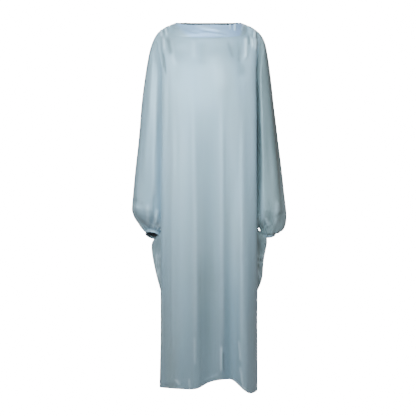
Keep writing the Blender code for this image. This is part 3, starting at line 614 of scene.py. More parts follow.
# Shot colour: warp and weft of slightly different colours, so that the cloth drifts between cool and warm.
# Over it lies painted light: a painted highlight on each crease's ridge and painted shade in each trough.
THREADS_PER_METRE = 620.0
RIDGE_PAINTED_HIGHLIGHT = 0.80
RIDGE_HIGHLIGHT_COLOUR = (0.780, 0.920, 1.000, 1.0)
TROUGH_SHADE = 0.60
TROUGH_SHADE_COLOUR = (0.150, 0.185, 0.190, 1.0)
colours = {"Ground": "Color", "Cool": "Color", "Warm": "Color"}
shot_colour_and_painted_light, given, made = new_group(
    "shot_colour_and_painted_light", {"Place": "Vector", **colours, "Drift": "Float", "Painted Light": "Float"}, {"Colour": "Color"})
place = given.outputs["Place"]
band_place = add(shot_colour_and_painted_light, "Mapping", {"Vector": place, "Scale": (11.0, 7.0, 1.1)})
bands = add(shot_colour_and_painted_light, "TexNoise", {"Vector": band_place.outputs[0], "Scale": 1.0, "Detail": 2.0})
patch_place = add(shot_colour_and_painted_light, "Mapping", {
    "Vector": place, "Location": (3.1, 1.7, 0.4), "Scale": (6.0, 5.0, 2.2)})
patches = add(shot_colour_and_painted_light, "TexNoise", {"Vector": patch_place.outputs[0], "Scale": 1.0, "Detail": 1.0})
tint = given.outputs["Ground"]
for texture, colour, low, high in ((bands, "Cool", 0.42, 0.66), (patches, "Warm", 0.50, 0.72)):
    share = add(shot_colour_and_painted_light, "MapRange", {"Value": texture.outputs["Fac"], "From Min": low, "From Max": high})
    drift = add(shot_colour_and_painted_light, "Math", {0: share.outputs[0], 1: given.outputs["Drift"]}, operation="MULTIPLY")
    tint = tinted(shot_colour_and_painted_light, drift.outputs[0], tint, given.outputs[colour])
# Painted highlight on the ridges and painted shade in the troughs, laid over the shot colour
for full, most, colour in ((1.0, RIDGE_PAINTED_HIGHLIGHT, RIDGE_HIGHLIGHT_COLOUR), (-1.0, TROUGH_SHADE, TROUGH_SHADE_COLOUR)):
    share = add(shot_colour_and_painted_light, "MapRange", {"Value": given.outputs["Painted Light"], "From Max": full, "To Max": most})
    tint = tinted(shot_colour_and_painted_light, share.outputs[0], tint, colour)
join(shot_colour_and_painted_light, made, {"Colour": tint})


def satin(name, ground, cool, warm, drift, roughness, lustre, ends=None):
    """Satin of one piece: shot colour with the cloth's painted highlights and shade laid over it, thread lines
    as bump, and a gloss drawn out along the threads.
    """
    material = bpy.data.materials.new(name)
    material.use_nodes = True
    tree = material.node_tree
    place = add(tree, "TexCoord", {}).outputs["Object"]
    cloth_place = add(tree, "UVMap", {}, uv_map="UVMap").outputs["UV"]
    # The cloth's painted light: highlights on its ridges and shade in its troughs, as kept on each piece
    painted_crease_light = add(tree, "Attribute", {}, attribute_name="painted_crease_light").outputs["Fac"]
    tint = add(tree, "Group", {
        "Place": place, "Ground": ground, "Cool": cool, "Warm": warm, "Drift": drift, "Painted Light": painted_crease_light,
    }, node_tree=shot_colour_and_painted_light).outputs["Colour"]
    if ends:
        colours = {"Place": place, "Band": tint, "Dress": ICE_BLUE}
        tint = add(tree, "Group", colours, node_tree=ends).outputs["Colour"]
    threads = {"Cloth Place": cloth_place, "Thread Count": THREADS_PER_METRE}
    weave = add(tree, "Group", threads, node_tree=satin_threads)
    gloss = add(tree, "MapRange", {"Value": weave.outputs["Slub"], "From Min": 0.3, "From Max": 0.7,
                                   "To Min": roughness - 0.05, "To Max": roughness + 0.05})
    bump = add(tree, "Bump", {"Height": weave.outputs["Height"], "Strength": 0.10, "Distance": 0.0004})
    warp = add(tree, "Tangent", {}, direction_type="UV_MAP", uv_map="UVMap")
    join(tree, tree.nodes["Principled BSDF"], {
        "Base Color": tint, "Roughness": gloss.outputs[0], "Normal": bump.outputs["Normal"],
        "Tangent": warp.outputs["Tangent"], "Anisotropic": 0.5, "Metallic": 0.16 * lustre,
        "Specular IOR Level": 0.36 * lustre})
    return material


ICE_BLUE = (0.385, 0.495, 0.560, 1.0)
COOL_BLUE = (0.370, 0.505, 0.600, 1.0)
WARM_GREY = (0.410, 0.490, 0.510, 1.0)
# The reverse is the satin's dull back, its colour also darkened as painted shade for the inside of the neck
# and cuffs.
REVERSE_SHADE_BLUE = (0.240, 0.290, 0.320, 1.0)
REVERSE_SHADE_GREY = (0.260, 0.290, 0.300, 1.0)
satin_reverse_shaded = satin("satin_reverse_shaded", REVERSE_SHADE_BLUE, REVERSE_SHADE_BLUE, REVERSE_SHADE_GREY, 0.50, 0.70, 0.2)
dress_satin = satin("dress_satin", ICE_BLUE, COOL_BLUE, WARM_GREY, 0.60, 0.45, 1.0)


def hang_panel(node, grid, outward, creases, seed, neck_fade):
    """Drape one panel, crease it, sink its seams in, and put it in place."""
    piece = lay_cloth(node + "_cloth", grid, outward, finer=2)
    points = read_points(piece)
    # The creases' painted highlights and shade, kept on the panel for its satin's colour
    heights, painted_light = crease_heights(points, creases)
    mark_painted_light(piece, painted_light)
    heights += slack_heights(points, seed=seed, **PANEL_SLACK) * below(points, *PANEL_SLACK_START)
    for seam in sides(grid):
        heights += seam_heights(points, seam, **SIDE_SEAM)
    toward_shoulder = 1.0 - neck_fade * smooth(np.abs(points[:, 0]), *SHOULDER_FADE_X)
    heights += seam_heights(points, grid[0], **NECK_SEAM) * toward_shoulder
    heights += seam_heights(points, grid[-1], **HEM_SEAM)
    give_wall(piece, heights, CLOTH, dress_satin, satin_reverse_shaded)
    put_in_place(piece, node)
    return piece


front_grid = panel_rows(-1)
front_panel = hang_panel("front_panel", front_grid, 1, FRONT_CREASES, 4.0, SHOULDER_FADE)


# Back panel
# The same satin, cut like the front but a little higher at the neck. No photograph shows it,
# so it falls in folds of its own of the same size as those in front.
BACK_CREASES = millimetres("x0 z0 x1 z1 half rise bow", [
    (-140, -240, -146, -1370, 10, 2.4, 5),
    (-88, -300, -92, -1350, 12, -2.2, -4),
    (-34, -240, -26, -1360, 11, 3, 4),
    (24, -340, 28, -1330, 20, -2.8, 4),
    (72, -220, 80, -1360, 11, 3.2, -5),
    (118, -300, 130, -1360, 12, -1.8, 3),
    (156, -140, 160, -700, 9, 2, 3),
    (-158, -120, -164, -620, 9, 1.8, -3),
    (-145, -30, -120, -140, 8, -2.8, 3),
    (-166, -30, -158, -100, 5, 2.8, 1),
    (146, -30, 132, -120, 7, 3, -2),
    (160, -32, 156, -84, 5, -2.6, 0),
    (174, -40, 170, -100, 5, 2.6, 1),
    (-70, -60, -110, -220, 24, -2.4, -6),
    (60, -60, 98, -240, 24, -2.8, 6),
    (-110, -1330, -102, -1380, 8, 2.8, 1),
    (4, -1330, 0, -1384, 8, 2.8, 1),
    (104, -1330, 110, -1384, 7, 2.6, 1),
])

back_grid = panel_rows(1)
back_panel = hang_panel("back_panel", back_grid, -1, BACK_CREASES, 9.0, 0.0)


# Neckband
# A wide facing of the same satin, doubled and joined end to end on the shoulders. It edges the boat neck,
# lies smooth against the wearer, and is bluer because its threads run across the dress.
DOUBLED_CLOTH = 0.0022
NECK_TIP_X = 0.123
NECK_TIP_Z = 0.012
NECK_MIDDLE = {-1: (-0.080, -0.0015), 1: (0.070, 0.0138)}
BAND_ROWS = 3
BAND_BULGE = 0.004
BAND_BULGE_POWER = 8
NECK_TIP_FULLNESS = 0.92
NECK_TIP_RISE_POWER = 5
BAND_SLACK = dict(across=30.0, down=30.0, height=0.0006)
BAND_SEAM = dict(depth=0.0010, half=0.0035, pucker=0.0004, pitch=0.012)
BAND_FOLD = dict(depth=0.0008, half=0.0025, pucker=0.0002, pitch=0.010)
BAND_JOIN = dict(depth=0.0008, half=0.0030, pucker=0.0002, pitch=0.010)
FRONT_BAND_CREASES = millimetres("x0 z0 x1 z1 half rise bow", [
    (101, 12, 101, -26, 3, 3, 0),
    (93, 10, 92, -22, 3, -1.6, 0),
    (83, 6, 82, -20, 3, 1.8, 0),
    (-60, -4, 50, -26, 6, 1.2, 2),
    (-40, -20, 85, -40, 5, -1.2, 2),
    (-110, -10, -30, -34, 6, -1, -2),
    (-138, 0, -118, -24, 4, 1.6, 0),
    (-128, 6, -108, -18, 4, -1.4, 0),
    (134, 2, 126, -24, 4, 1.6, 0),
])
BACK_BAND_CREASES = millimetres("x0 z0 x1 z1 half rise bow", [
    (-90, 26, -84, -10, 4, 2, 0),
    (-40, 16, 60, 0, 6, 1.2, 2),
    (110, 20, 104, -10, 4, 1.8, 0),
    (10, 4, 90, -10, 5, -1, 2),
])


def band_rows(facing):
    """Half of the neckband, from its upper edge to the seam, rounded a little over its height."""
    seam = neck_seam(facing)
    neck_y, neck_z = NECK_MIDDLE[facing]
    upper = neck_curve(NECK_TIP_X, neck_y, NECK_TIP_FULLNESS,
                       lambda out, ahead: neck_z + (NECK_TIP_Z - neck_z) * out ** NECK_TIP_RISE_POWER)
    rows = []
    for row in range(BAND_ROWS + 1):
        t = row / BAND_ROWS
        line = []
        for top, low in zip(upper, seam):
            bulge = BAND_BULGE * 4 * t * (1 - t) * (1 - (abs(top.x) / NECK_TIP_X) ** BAND_BULGE_POWER)
            line.append(top.lerp(low, t) + Vector((0.0, facing * bulge, 0.0)))
        rows.append(line)
    return rows


BAND_BLUE = (0.360, 0.510, 0.690, 1.0)
BAND_COOL = (0.350, 0.490, 0.740, 1.0)
BAND_WARM = (0.390, 0.520, 0.640, 1.0)
# The band's reverse is near black: the dull back of the satin, painted darker as the shade inside the back of
# the neck.
BAND_REVERSE_SHADE = (0.110, 0.115, 0.120, 1.0)

# Where the band meets the shoulders its threads turn to lie with the dress's, and its colour runs into that.
band_ends, given, made = new_group(
    "band_ends", {"Place": "Vector", "Band": "Color", "Dress": "Color"}, {"Colour": "Color"})
shares = []
for way, low, high in (((-1.0, 0.0, -1.0), 0.105, 0.140), ((1.0, 0.0, -0.25), 0.122, 0.142)):
    toward = add(band_ends, "VectorMath", {0: given.outputs["Place"], 1: way}, operation="DOT_PRODUCT")
    share = add(band_ends, "MapRange", {"Value": toward.outputs["Value"], "From Min": low, "From Max": high},
                interpolation_type="SMOOTHSTEP")
    shares.append(share.outputs[0])
end = add(band_ends, "Math", {0: shares[0], 1: shares[1]}, operation="MAXIMUM").outputs[0]
join(band_ends, made, {"Colour": tinted(band_ends, end, given.outputs["Band"], given.outputs["Dress"])})
band_satin = satin("band_satin", BAND_BLUE, BAND_COOL, BAND_WARM, 0.70, 0.40, 1.0, ends=band_ends)
band_reverse_shaded = satin("band_reverse_shaded", BAND_REVERSE_SHADE, BAND_REVERSE_SHADE, BAND_REVERSE_SHADE, 0.0, 0.70, 0.1)

neckbands = {}
for half, facing, creases in (("front", -1, FRONT_BAND_CREASES), ("back", 1, BACK_BAND_CREASES)):
    rows = band_rows(facing)
    band = lay_cloth("neckband_" + half + "_cloth", rows, -facing, finer=3)
    points = read_points(band)
    # The creases' painted highlights and shade, kept on the band for its satin's colour
    heights, painted_light = crease_heights(points, creases)
    mark_painted_light(band, painted_light)
    heights += slack_heights(points, seed=2.0 + facing, **BAND_SLACK)
    toward_shoulder = 1.0 - SHOULDER_FADE * smooth(np.abs(points[:, 0]), *SHOULDER_FADE_X)
    heights += seam_heights(points, rows[-1], **BAND_SEAM) * toward_shoulder
    heights += seam_heights(points, rows[0], **BAND_FOLD)
    for seam in sides(rows):
        heights += seam_heights(points, seam, **BAND_JOIN)
    # The back band's edge also takes the dark reverse, a painted shade line along the inside of the back neck.
    give_wall(band, heights, DOUBLED_CLOTH, band_satin, band_reverse_shaded, dull_shaded_edge=half == "back")
    put_in_place(band, "neckband_" + half)
    neckbands[half] = band


# Sleeves
# Each batwing sleeve is one wide piece of satin, set into the armhole from the shoulder point to the hip.
# Its outer fold has no seam. It closes along the under-seam and is gathered into the cuff.
UNDER_SEAM_COLUMNS = 7
CUFF_COLUMNS = 16
CAP_ROWS = 3
VALLEY_SHARE = 0.26
VALLEY_START = (0.10, 0.45)
SLEEVE_FOLD_START = (0.20, 0.44)
SLEEVE_MIDDLE_X = 0.20
FOLD_DROP_ROWS = (-1.5, 6)
SLEEVE_STEPS = 60
SLEEVE_FULLNESS = {"left": 0.92, "right": 0.74}
CREST_SHARE = 0.45
CREST_LEAVE = 1.1
CREST_ARRIVE = 0.9

# Levels down a sleeve: the outer fold is the garment's outline. The crest is the fullest line of front and
# back, by its height over the armhole seam and its distance out from it.
SLEEVE_LEVELS = millimetres("z fold_left fold_right crest_left crest_right out_left out_right", [
    (-30, 199, 199, 4, 4, 1, 1),
    (-55, 214, 212, 6, 6, 4, 4),
    (-78, 221, 221, 5, 5, 10, 10),
    (-120, 228, 231, 8, 6, 16, 18),
    (-190, 238, 242, 15, 8, 17, 22),
    (-285, 248, 255, 22, 11, 18, 26),
    (-380, 260, 263, 28, 13, 20, 28),
    (-470, 271, 271, 32, 14, 22, 30),
    (-560, 282, 282, 34, 16, 24, 32),
    (-650, 291, 290, 34, 22, 30, 36),
    (-700, 298, 294, 32, 28, 36, 40),
])

SLEEVE_FOLDS = table("top hem start full width rise", [
    (0.30, 0.26, -0.20, -0.60, 0.05, 0.006),
    (0.38, 0.36, -0.12, -0.55, 0.05, -0.007),
    (0.62, 0.64, -0.16, -0.55, 0.05, -0.006),
    (0.72, 0.74, -0.22, -0.60, 0.05, 0.006),
])

# Where each cuff's seam lies and the way its opening points, with how far the sleeve drops and puffs over it
CUFF_RADIUS = 0.029
CUFF_HEIGHT = 0.012
CUFF_GATHERS = 8
CUFF_GATHER_RISE = 0.0025
CUFF_GATHER_START = (0.35, 0.85)
CUFF_GATHER_END = (0.9, 1.0)
GATHERS = 17
GATHER_RISE = 0.0022
GATHER_PAST_SEAM = 0.004
GATHER_REACH = 0.105
GATHER_START = (0.0, 0.006)
GATHER_END = (0.012, 0.055)
GATHER_FROM_JOINT = (0.25, 0.7)
POUCH_COLUMNS = 4
POUCH_NECK_Z = -0.800
POUCH_THROUGH_X = 0.3
POUCH_THROUGH_Y = 0.9
POUCH_NECK_SHARE = 0.7
POUCH_NECK_POWER = 1.5
SLEEVE_LEAVE = 0.8
POUCH_ARRIVE = 0.8
SLEEVE_ARRIVE = 1.2
JOINT_ARRIVE = 0.5
DRAWN_ASIDE = 1.1
PUFF_AT_JOINT = 0.7
PUFF_AT_FOLD = 1.2
CUFF_PLACE = {
    "left": dict(centre=(0.2275, 0.0106, -0.7927), out=(0.053, 0.390, -0.919), drop=0.134, puff=0.083),
    "right": dict(centre=(0.2117, 0.0134, -0.7953), out=(0.249, -0.439, -0.863), drop=0.020, puff=0.027),
}

# Under-seam from the hip: up the outside of the pouch, over beside the cuff and down to the cuff's own edge
UNDER_SEAM = {
    "left": millimetres("x y z", [
        (188.5, 0, -1019.5), (212, -0.3, -964), (207.5, -10.7, -892), (238, -15, -808),
        (185, -1.1, -783.4), (193.5, -8.9, -774.2), (197, -10.7, -782.6),
    ]),
    "right": millimetres("x y z", [
        (184.5, 0, -1019.5), (210, 15.1, -928), (224, 22, -840), (212, 24, -820), (175.5, -16.8, -786.4),
        (183.5, -14.4, -778.1), (185.3, 3.4, -784.8),
    ]),
}

# Creases of each sleeve on the front, with x measured outward from the dress's middle
LEFT_SLEEVE_CREASES = millimetres("x0 z0 x1 z1 half rise bow", [
    (205, -90, 236, -640, 12, -2, 4),
    (214, -100, 262, -660, 11, 1.9, -4),
    (240, -360, 276, -740, 10, -1.4, 2),
    (196, -160, 206, -520, 8, 1.1, 2),
    (205, -46, 213, -120, 4, 1.6, 1),
    (262, -660, 250, -775, 8, 2.6, 4),
    (230, -660, 236, -775, 8, -2.4, 2),
    (214, -735, 232, -772, 6, 3.6, 1),
    (250, -740, 292, -718, 7, -1.8, 3),
])
RIGHT_SLEEVE_CREASES = millimetres("x0 z0 x1 z1 half rise bow", [
    (200, -90, 222, -600, 11, -1.7, 3),
    (212, -80, 248, -620, 12, 1.9, -5),
    (232, -240, 270, -680, 10, -1.5, 3),
    (194, -160, 200, -460, 8, 1, 2),
    (196, -45, 204, -75, 3, -1.8, 0),
    (208, -58, 214, -100, 4, -1.6, 0),
    (246, -690, 292, -668, 6, -3, 3),
    (262, -706, 290, -690, 5, 2.4, 2),
    (206, -640, 214, -770, 7, -3.4, -4),
    (232, -680, 226, -775, 8, 3.2, 2),
    (190, -700, 202, -765, 6, 3, 2),
])

# Short wrinkles across each pouch below the cuff
POUCH_CREASES = millimetres("x0 z0 x1 z1 half rise bow", [
    (178, -884, 214, -890, 4, 1.8, 1),
    (176, -894, 214, -902, 3.5, -2.2, 1),
    (180, -908, 210, -914, 4, 1.6, 1),
    (178, -920, 210, -932, 3.5, -2.2, 2),
    (186, -930, 198, -975, 4, 1.8, 1),
    (184, -968, 196, -1000, 3.5, -1.6, 1),
])


def cuff_frame(side):
    """Centre of the cuff seam, the way its opening points, the under-seam's side and the front's side."""
    outward = Vector((SIGN[side], 1.0, 1.0))
    centre = Vector(CUFF_PLACE[side]["centre"]) * outward
    out = (Vector(CUFF_PLACE[side]["out"]) * outward).normalized()
    joint = Vector((-SIGN[side], 0.0, 0.0))
    joint = (joint - out * joint.dot(out)).normalized()
    front = joint.cross(out).normalized() * SIGN[side]
    return centre, out, joint, front


def cuff_ring(side, radius, outward):
    """Points round the cuff from the under-seam over the front and back again, the last not repeated."""
    centre, out, joint, front = cuff_frame(side)
    ring = []
    for step in range(CUFF_COLUMNS):
        angle = 2 * math.pi * step / CUFF_COLUMNS
        ring.append(centre + out * outward + (joint * math.cos(angle) + front * math.sin(angle)) * radius)
    return ring


def seam_at(seam, z):
    """A point of an armhole seam at a level."""
    for high, low in zip(seam, seam[1:]):
        if low.z <= z:
            return high.lerp(low, min(max((high.z - z) / (high.z - low.z), 0.0), 1.0))
    return seam[-1].copy()


def sleeve_half(side, seam, facing, z):
    """Half of a sleeve's line at one level, from the armhole seam over the crest to the outer fold."""
    fold, crest, out = [read_table(SLEEVE_LEVELS, "z", name + side, z)
                        for name in ("fold_", "crest_", "out_")]
    start = seam_at(seam, z)
    start = Vector((abs(start.x), start.y, z))
    reach = min(out, (fold - start.x) * CREST_SHARE)
    high = Vector((start.x + reach, (abs(start.y) + crest) * facing, z))
    leave = Vector((reach * CREST_LEAVE, 0.0, 0.0))
    arrive = Vector((reach * CREST_ARRIVE, 0.0, 0.0))
    line = [hermite(start, high, leave, arrive, step / RETURN_STEPS) for step in range(RETURN_STEPS)]
    return line + quarter_round(high, Vector((fold, 0.0, z)), SLEEVE_FULLNESS[side])


def sleeve_point(side, seam, facing, z, column):
    """A sleeve's point at a level, for a column counted from the armhole to the outer fold."""
    half = UNDER_SEAM_COLUMNS + CUFF_COLUMNS // 2
    even = UNDER_SEAM_COLUMNS / half
    cut = even + (VALLEY_SHARE - even) * smooth(-z, *VALLEY_START)
    if column <= UNDER_SEAM_COLUMNS:
        share = cut * column / UNDER_SEAM_COLUMNS
    else:
        share = cut + (1 - cut) * (column - UNDER_SEAM_COLUMNS) / (half - UNDER_SEAM_COLUMNS)
    fine = along(sleeve_half(side, seam, facing, z), SLEEVE_STEPS)
    at = min(share, 0.9999) * SLEEVE_STEPS
    point = fine[int(at)].lerp(fine[int(at) + 1], at - int(at))
    whole = share / 2 if facing < 0 else 1 - share / 2
    rise = fold_rise(SLEEVE_FOLDS, whole, z) * smooth(share, *SLEEVE_FOLD_START)
    outward = Vector((point.x - SLEEVE_MIDDLE_X, point.y, 0.0)).normalized()
    point = point + outward * rise
    return Vector((point.x * SIGN[side], point.y, point.z))


def under_seam(side):
    """The under-seam from the hip to the cuff."""
    joint = cuff_ring(side, CUFF_RADIUS, 0.0)[0]
    points = []
    for index, row in enumerate(UNDER_SEAM[side]):
        share = smooth(index, UNDER_SEAM_COLUMNS - 4, UNDER_SEAM_COLUMNS)
        points.append(Vector((row["x"] * SIGN[side], row["y"] + joint.y * share, row["z"])))
    points.append(joint)
    return points


def sleeve_rows(side, front_rows, back_rows):
    """All the rows of a sleeve: over the shoulder point, level ones, then down to seam and cuff."""
    column = -1 if side == "left" else 0
    front = [row[column] for row in front_rows]
    back = [row[column] for row in back_rows]
    level_rows = YOKE_ROWS + BODY_ROWS
    half = UNDER_SEAM_COLUMNS + CUFF_COLUMNS // 2
    cap = []
    for station in range(CAP_ROWS, 0, -1):
        cap += along([front[station], front[station - 1]], half // CAP_ROWS)[:-1]
    for station in range(CAP_ROWS):
        cap += along([back[station], back[station + 1]], half // CAP_ROWS)[:-1]
    rows = [cap + [back[CAP_ROWS]]]
    for row in range(CAP_ROWS + 1, level_rows + 1):
        share = smooth(row - CAP_ROWS, *FOLD_DROP_ROWS)
        line = []
        for index in range(2 * half + 1):
            facing = -1 if index <= half else 1
            seam = front if facing < 0 else back
            column_index = index if facing < 0 else 2 * half - index
            from_fold = (1 - column_index / half) ** 2
            fold_z = SHOULDER_POINT_Z + (seam[row].z - SHOULDER_POINT_Z) * share
            z = fold_z + (seam[row].z - fold_z) * from_fold
            line.append(sleeve_point(side, seam, facing, z, column_index))
        line[0] = front[row].copy()
        line[-1] = back[row].copy()
        rows.append(line)
    start = rows[-1]
    above = rows[-2]
    lower = {}
    for facing, seam, first in ((-1, front, 0), (1, back, 2 * half)):
        step = 1 if facing < 0 else -1
        columns = [first + step * index for index in range(half + 1)]
        lower.update(lower_columns(side, facing, seam[level_rows:], columns, start, above))
    for row in range(1, HIP_ROWS + 1):
        rows.append([lower[index][row] for index in range(2 * half + 1)])
    return rows


def pouch_point(start, beside, end, leave, arrive, t):
    """A point on the way down a pouch, which passes close to the body beside the cuff."""
    share = (start.z - beside.z) / (start.z - end.z)
    through = (end - start) * Vector((POUCH_THROUGH_X, POUCH_THROUGH_Y, 1.0))
    if t < share:
        return hermite(start, beside, leave * share, through * share, t / share)
    return hermite(beside, end, through * (1.0 - share), arrive * (1.0 - share), (t - share) / (1.0 - share))


def lower_columns(side, facing, seam, columns, start, above):
    """Front or back of a sleeve below its widest level: the pouch, and the part drawn into the cuff."""
    centre, out, _, front_side = cuff_frame(side)
    ring = cuff_ring(side, CUFF_RADIUS, 0.0)
    place = CUFF_PLACE[side]
    under = under_seam(side)
    ends = under + [ring[count if facing < 0 else -count] for count in range(1, CUFF_COLUMNS // 2 + 1)]
    to_middle = Vector((0.0, -facing, 0.0))
    from_joint = (under[-2] - under[-1]).normalized() - front_side * facing
    found = {columns[0]: [point.copy() for point in seam]}
    for count, index in enumerate(columns):
        if count == 0:
            continue
        end = ends[count]
        down = (start[index] - above[index]).normalized()
        reach = (end - start[index]).length
        on_cuff = count - UNDER_SEAM_COLUMNS
        on_fold = smooth(on_cuff, 0, CUFF_COLUMNS / 2)
        radial = (centre - end).normalized()
        drawn = radial * on_fold + out * (1.0 - DRAWN_ASIDE * on_fold)
        leave = down * (reach * SLEEVE_LEAVE + place["drop"] * on_fold)
        inward = POUCH_ARRIVE if count <= POUCH_COLUMNS else SLEEVE_ARRIVE
        arrive = to_middle * (abs(start[index].y - end.y) * inward)
        if on_cuff == 0:
            arrive = from_joint.normalized() * -reach * JOINT_ARRIVE
        if on_cuff > 0:
            arrive = drawn * (place["puff"] * (PUFF_AT_JOINT + (PUFF_AT_FOLD - PUFF_AT_JOINT) * on_fold))
        neck_share = POUCH_NECK_SHARE * (count / POUCH_COLUMNS) ** POUCH_NECK_POWER
        beside = seam_at(seam, POUCH_NECK_Z).lerp(under[POUCH_COLUMNS], neck_share)
        line = []
        for row in range(HIP_ROWS + 1):
            t = row / HIP_ROWS
            gather = math.cos(2 * math.pi * CUFF_GATHERS * on_cuff / CUFF_COLUMNS) * smooth(on_cuff, 0, 2)
            gather *= smooth(t, *CUFF_GATHER_START) * (1 - smooth(t, *CUFF_GATHER_END))
            if count < POUCH_COLUMNS:
                point = pouch_point(start[index], beside, end, leave, arrive, t)
            else:
                point = hermite(start[index], end, leave, arrive, t)
            line.append(point + (point - centre).normalized() * gather * CUFF_GATHER_RISE)
        found[index] = line
    return found


def gather_heights(points, side):
    """Gathers that fan out from the cuff: their height round the opening, dying away up the sleeve."""
    centre, out, joint, front = cuff_frame(side)
    found = np.zeros(len(points))
    for index, point in enumerate(points):
        offset = Vector(point) - centre
        above = -offset.dot(out)
        if above < -GATHER_PAST_SEAM or offset.length > GATHER_REACH:
            continue
        aside = offset + out * above
        angle = math.atan2(aside.dot(front), aside.dot(joint))
        away = (Vector(point) - (centre + aside.normalized() * CUFF_RADIUS)).length
        wave = math.sin(GATHERS * angle + 1.2 * math.sin(2 * angle) + 0.6 * math.sin(5 * angle))
        found[index] = GATHER_RISE * wave * smooth(away, *GATHER_START) * (1.0 - smooth(away, *GATHER_END))
        found[index] *= smooth(abs(angle), *GATHER_FROM_JOINT)
    return found


# Light and shade painted on a sleeve's colour: a painted highlight in the valley beside its crest and on the
# bulge over its cuff, and painted shade down its upper part and on its pouch
VALLEY = dict(x=0.205, half=0.011, painted_light=0.45, start=(0.15, 0.35), end=(0.72, 0.80))
BULGE = dict(x=0.200, z=-0.768, wide=0.017, high=0.015)
BULGE_PAINTED_HIGHLIGHT = {"left": 0.0, "right": 0.8}
UPPER_SHADE = {"left": 0.95, "right": 0.25}
UPPER_SHADE_END = (0.40, 0.72)
POUCH_SHADE = dict(shade=0.75, start=(0.806, 0.822), end=(0.850, 0.885))
FRONT_CREASES_END_Y = (-0.030, 0.004)
BACK_CREASES_START_Y = (-0.004, 0.030)
SLEEVE_CREASE_PAINTED_LIGHT = 0.5
BACK_CREASE_SHIFT = np.array((0.006, 0.0, 0.035))
SLEEVE_SLACK = dict(across=30.0, down=5.0, height=0.0012)
SLEEVE_SLACK_START = (0.06, 0.20)
ARMHOLE_SEAM = dict(depth=0.0010, half=0.0040, pucker=0.0005, pitch=0.019)
POUCH_SEAM = dict(depth=0.0009, half=0.0035, pucker=0.0005, pitch=0.014)
# The wearer's left sleeve has a shaded copy of the dress's satin: darker, greyer colours that paint the shade
# it hangs in.
SHADE_BLUE = (0.330, 0.405, 0.415, 1.0)
SHADE_COOL = (0.320, 0.410, 0.440, 1.0)
SHADE_GREY = (0.345, 0.405, 0.390, 1.0)
left_sleeve_shaded_satin = satin("left_sleeve_shaded_satin", SHADE_BLUE, SHADE_COOL, SHADE_GREY, 0.60, 0.45, 0.8)
for side, creases, face in (("left", LEFT_SLEEVE_CREASES, left_sleeve_shaded_satin),
                            ("right", RIGHT_SLEEVE_CREASES, dress_satin)):
    rows = sleeve_rows(side, front_grid, back_grid)
    sleeve = lay_cloth("sleeve_" + side + "_cloth", rows, SIGN[side], finer=2)
    points = read_points(sleeve)
    mirrored = points * np.array((SIGN[side], 1.0, 1.0))
    in_front = 1.0 - smooth(points[:, 1], *FRONT_CREASES_END_Y)
    behind = smooth(points[:, 1], *BACK_CREASES_START_Y)
    front_heights, front_painted_light = crease_heights(mirrored, creases)
    back_heights, back_painted_light = crease_heights(mirrored + BACK_CREASE_SHIFT, creases)
    pouch_heights, pouch_painted_light = crease_heights(mirrored, POUCH_CREASES)
    heights = front_heights * in_front + back_heights * behind + pouch_heights
    # Painted highlight along the valley beside the crest
    valley_highlight = np.exp(-((mirrored[:, 0] - VALLEY["x"]) / VALLEY["half"]) ** 2) * VALLEY["painted_light"]
    valley_highlight *= below(points, *VALLEY["start"]) * (1.0 - below(points, *VALLEY["end"]))
    # Painted shade on the pouch below the cuff and down the upper sleeve
    shade = below(points, *POUCH_SHADE["start"]) * (1.0 - below(points, *POUCH_SHADE["end"]))
    shade *= POUCH_SHADE["shade"]
    shade += (1.0 - below(points, *UPPER_SHADE_END)) * UPPER_SHADE[side]
    # Painted highlight on the bulge over the cuff
    aside = (mirrored[:, 0] - BULGE["x"]) / BULGE["wide"]
    upward = (points[:, 2] - BULGE["z"]) / BULGE["high"]
    bulge = np.exp(-aside ** 2 - upward ** 2) * BULGE_PAINTED_HIGHLIGHT[side]
    # The creases' painted light and these painted highlights and shade are kept on the sleeve for its satin's
    # colour
    painted_light = (front_painted_light * in_front + back_painted_light * behind) * SLEEVE_CREASE_PAINTED_LIGHT + pouch_painted_light
    mark_painted_light(sleeve, painted_light + valley_highlight + bulge - shade)
    slack = slack_heights(points, seed=6.0 * SIGN[side], **SLEEVE_SLACK)
    heights += slack * below(points, *SLEEVE_SLACK_START)
    heights += gather_heights(points, side)
    for seam in (*sides(rows), rows[0]):
        heights += seam_heights(points, seam, **ARMHOLE_SEAM)
    heights += seam_heights(points, under_seam(side), **POUCH_SEAM)
    give_wall(sleeve, heights, CLOTH, face, satin_reverse_shaded)
    put_in_place(sleeve, "sleeve_" + side)


# Cuffs
# A narrow band of doubled satin round each wrist, drawn in by the sleeve's gathers that it is sewn to.
# Its edge is turned in, so that the opening shows a rounded rim.
CUFF_ROWS = 2
CUFF_ROLL = 0.0007
CUFF_PUCKERS = 22
CUFF_PUCKER = 0.0005
cuffs = {}
for side in ("left", "right"):
    rows = [cuff_ring(side, CUFF_RADIUS, CUFF_HEIGHT * step / CUFF_ROWS) for step in range(CUFF_ROWS + 1)]
    cuff = lay_cloth("cuff_" + side + "_cloth", rows, SIGN[side], finer=3, closed=True)
    centre, out, joint, front = cuff_frame(side)
    heights = []
    for point in read_points(cuff):
        offset = Vector(point) - centre
        level = offset.dot(out) / CUFF_HEIGHT
        angle = math.atan2(offset.dot(front), offset.dot(joint))
        roll = CUFF_ROLL * (1.0 - (2.0 * level - 1.0) ** 2)
        pucker = CUFF_PUCKER * math.sin(CUFF_PUCKERS * angle + 2.0 * math.sin(angle)) * (1.0 - level)
        heights.append(roll + pucker)
    give_wall(cuff, np.array(heights), DOUBLED_CLOTH, dress_satin, satin_reverse_shaded)
    put_in_place(cuff, "cuff_" + side)
    cuffs[side] = cuff


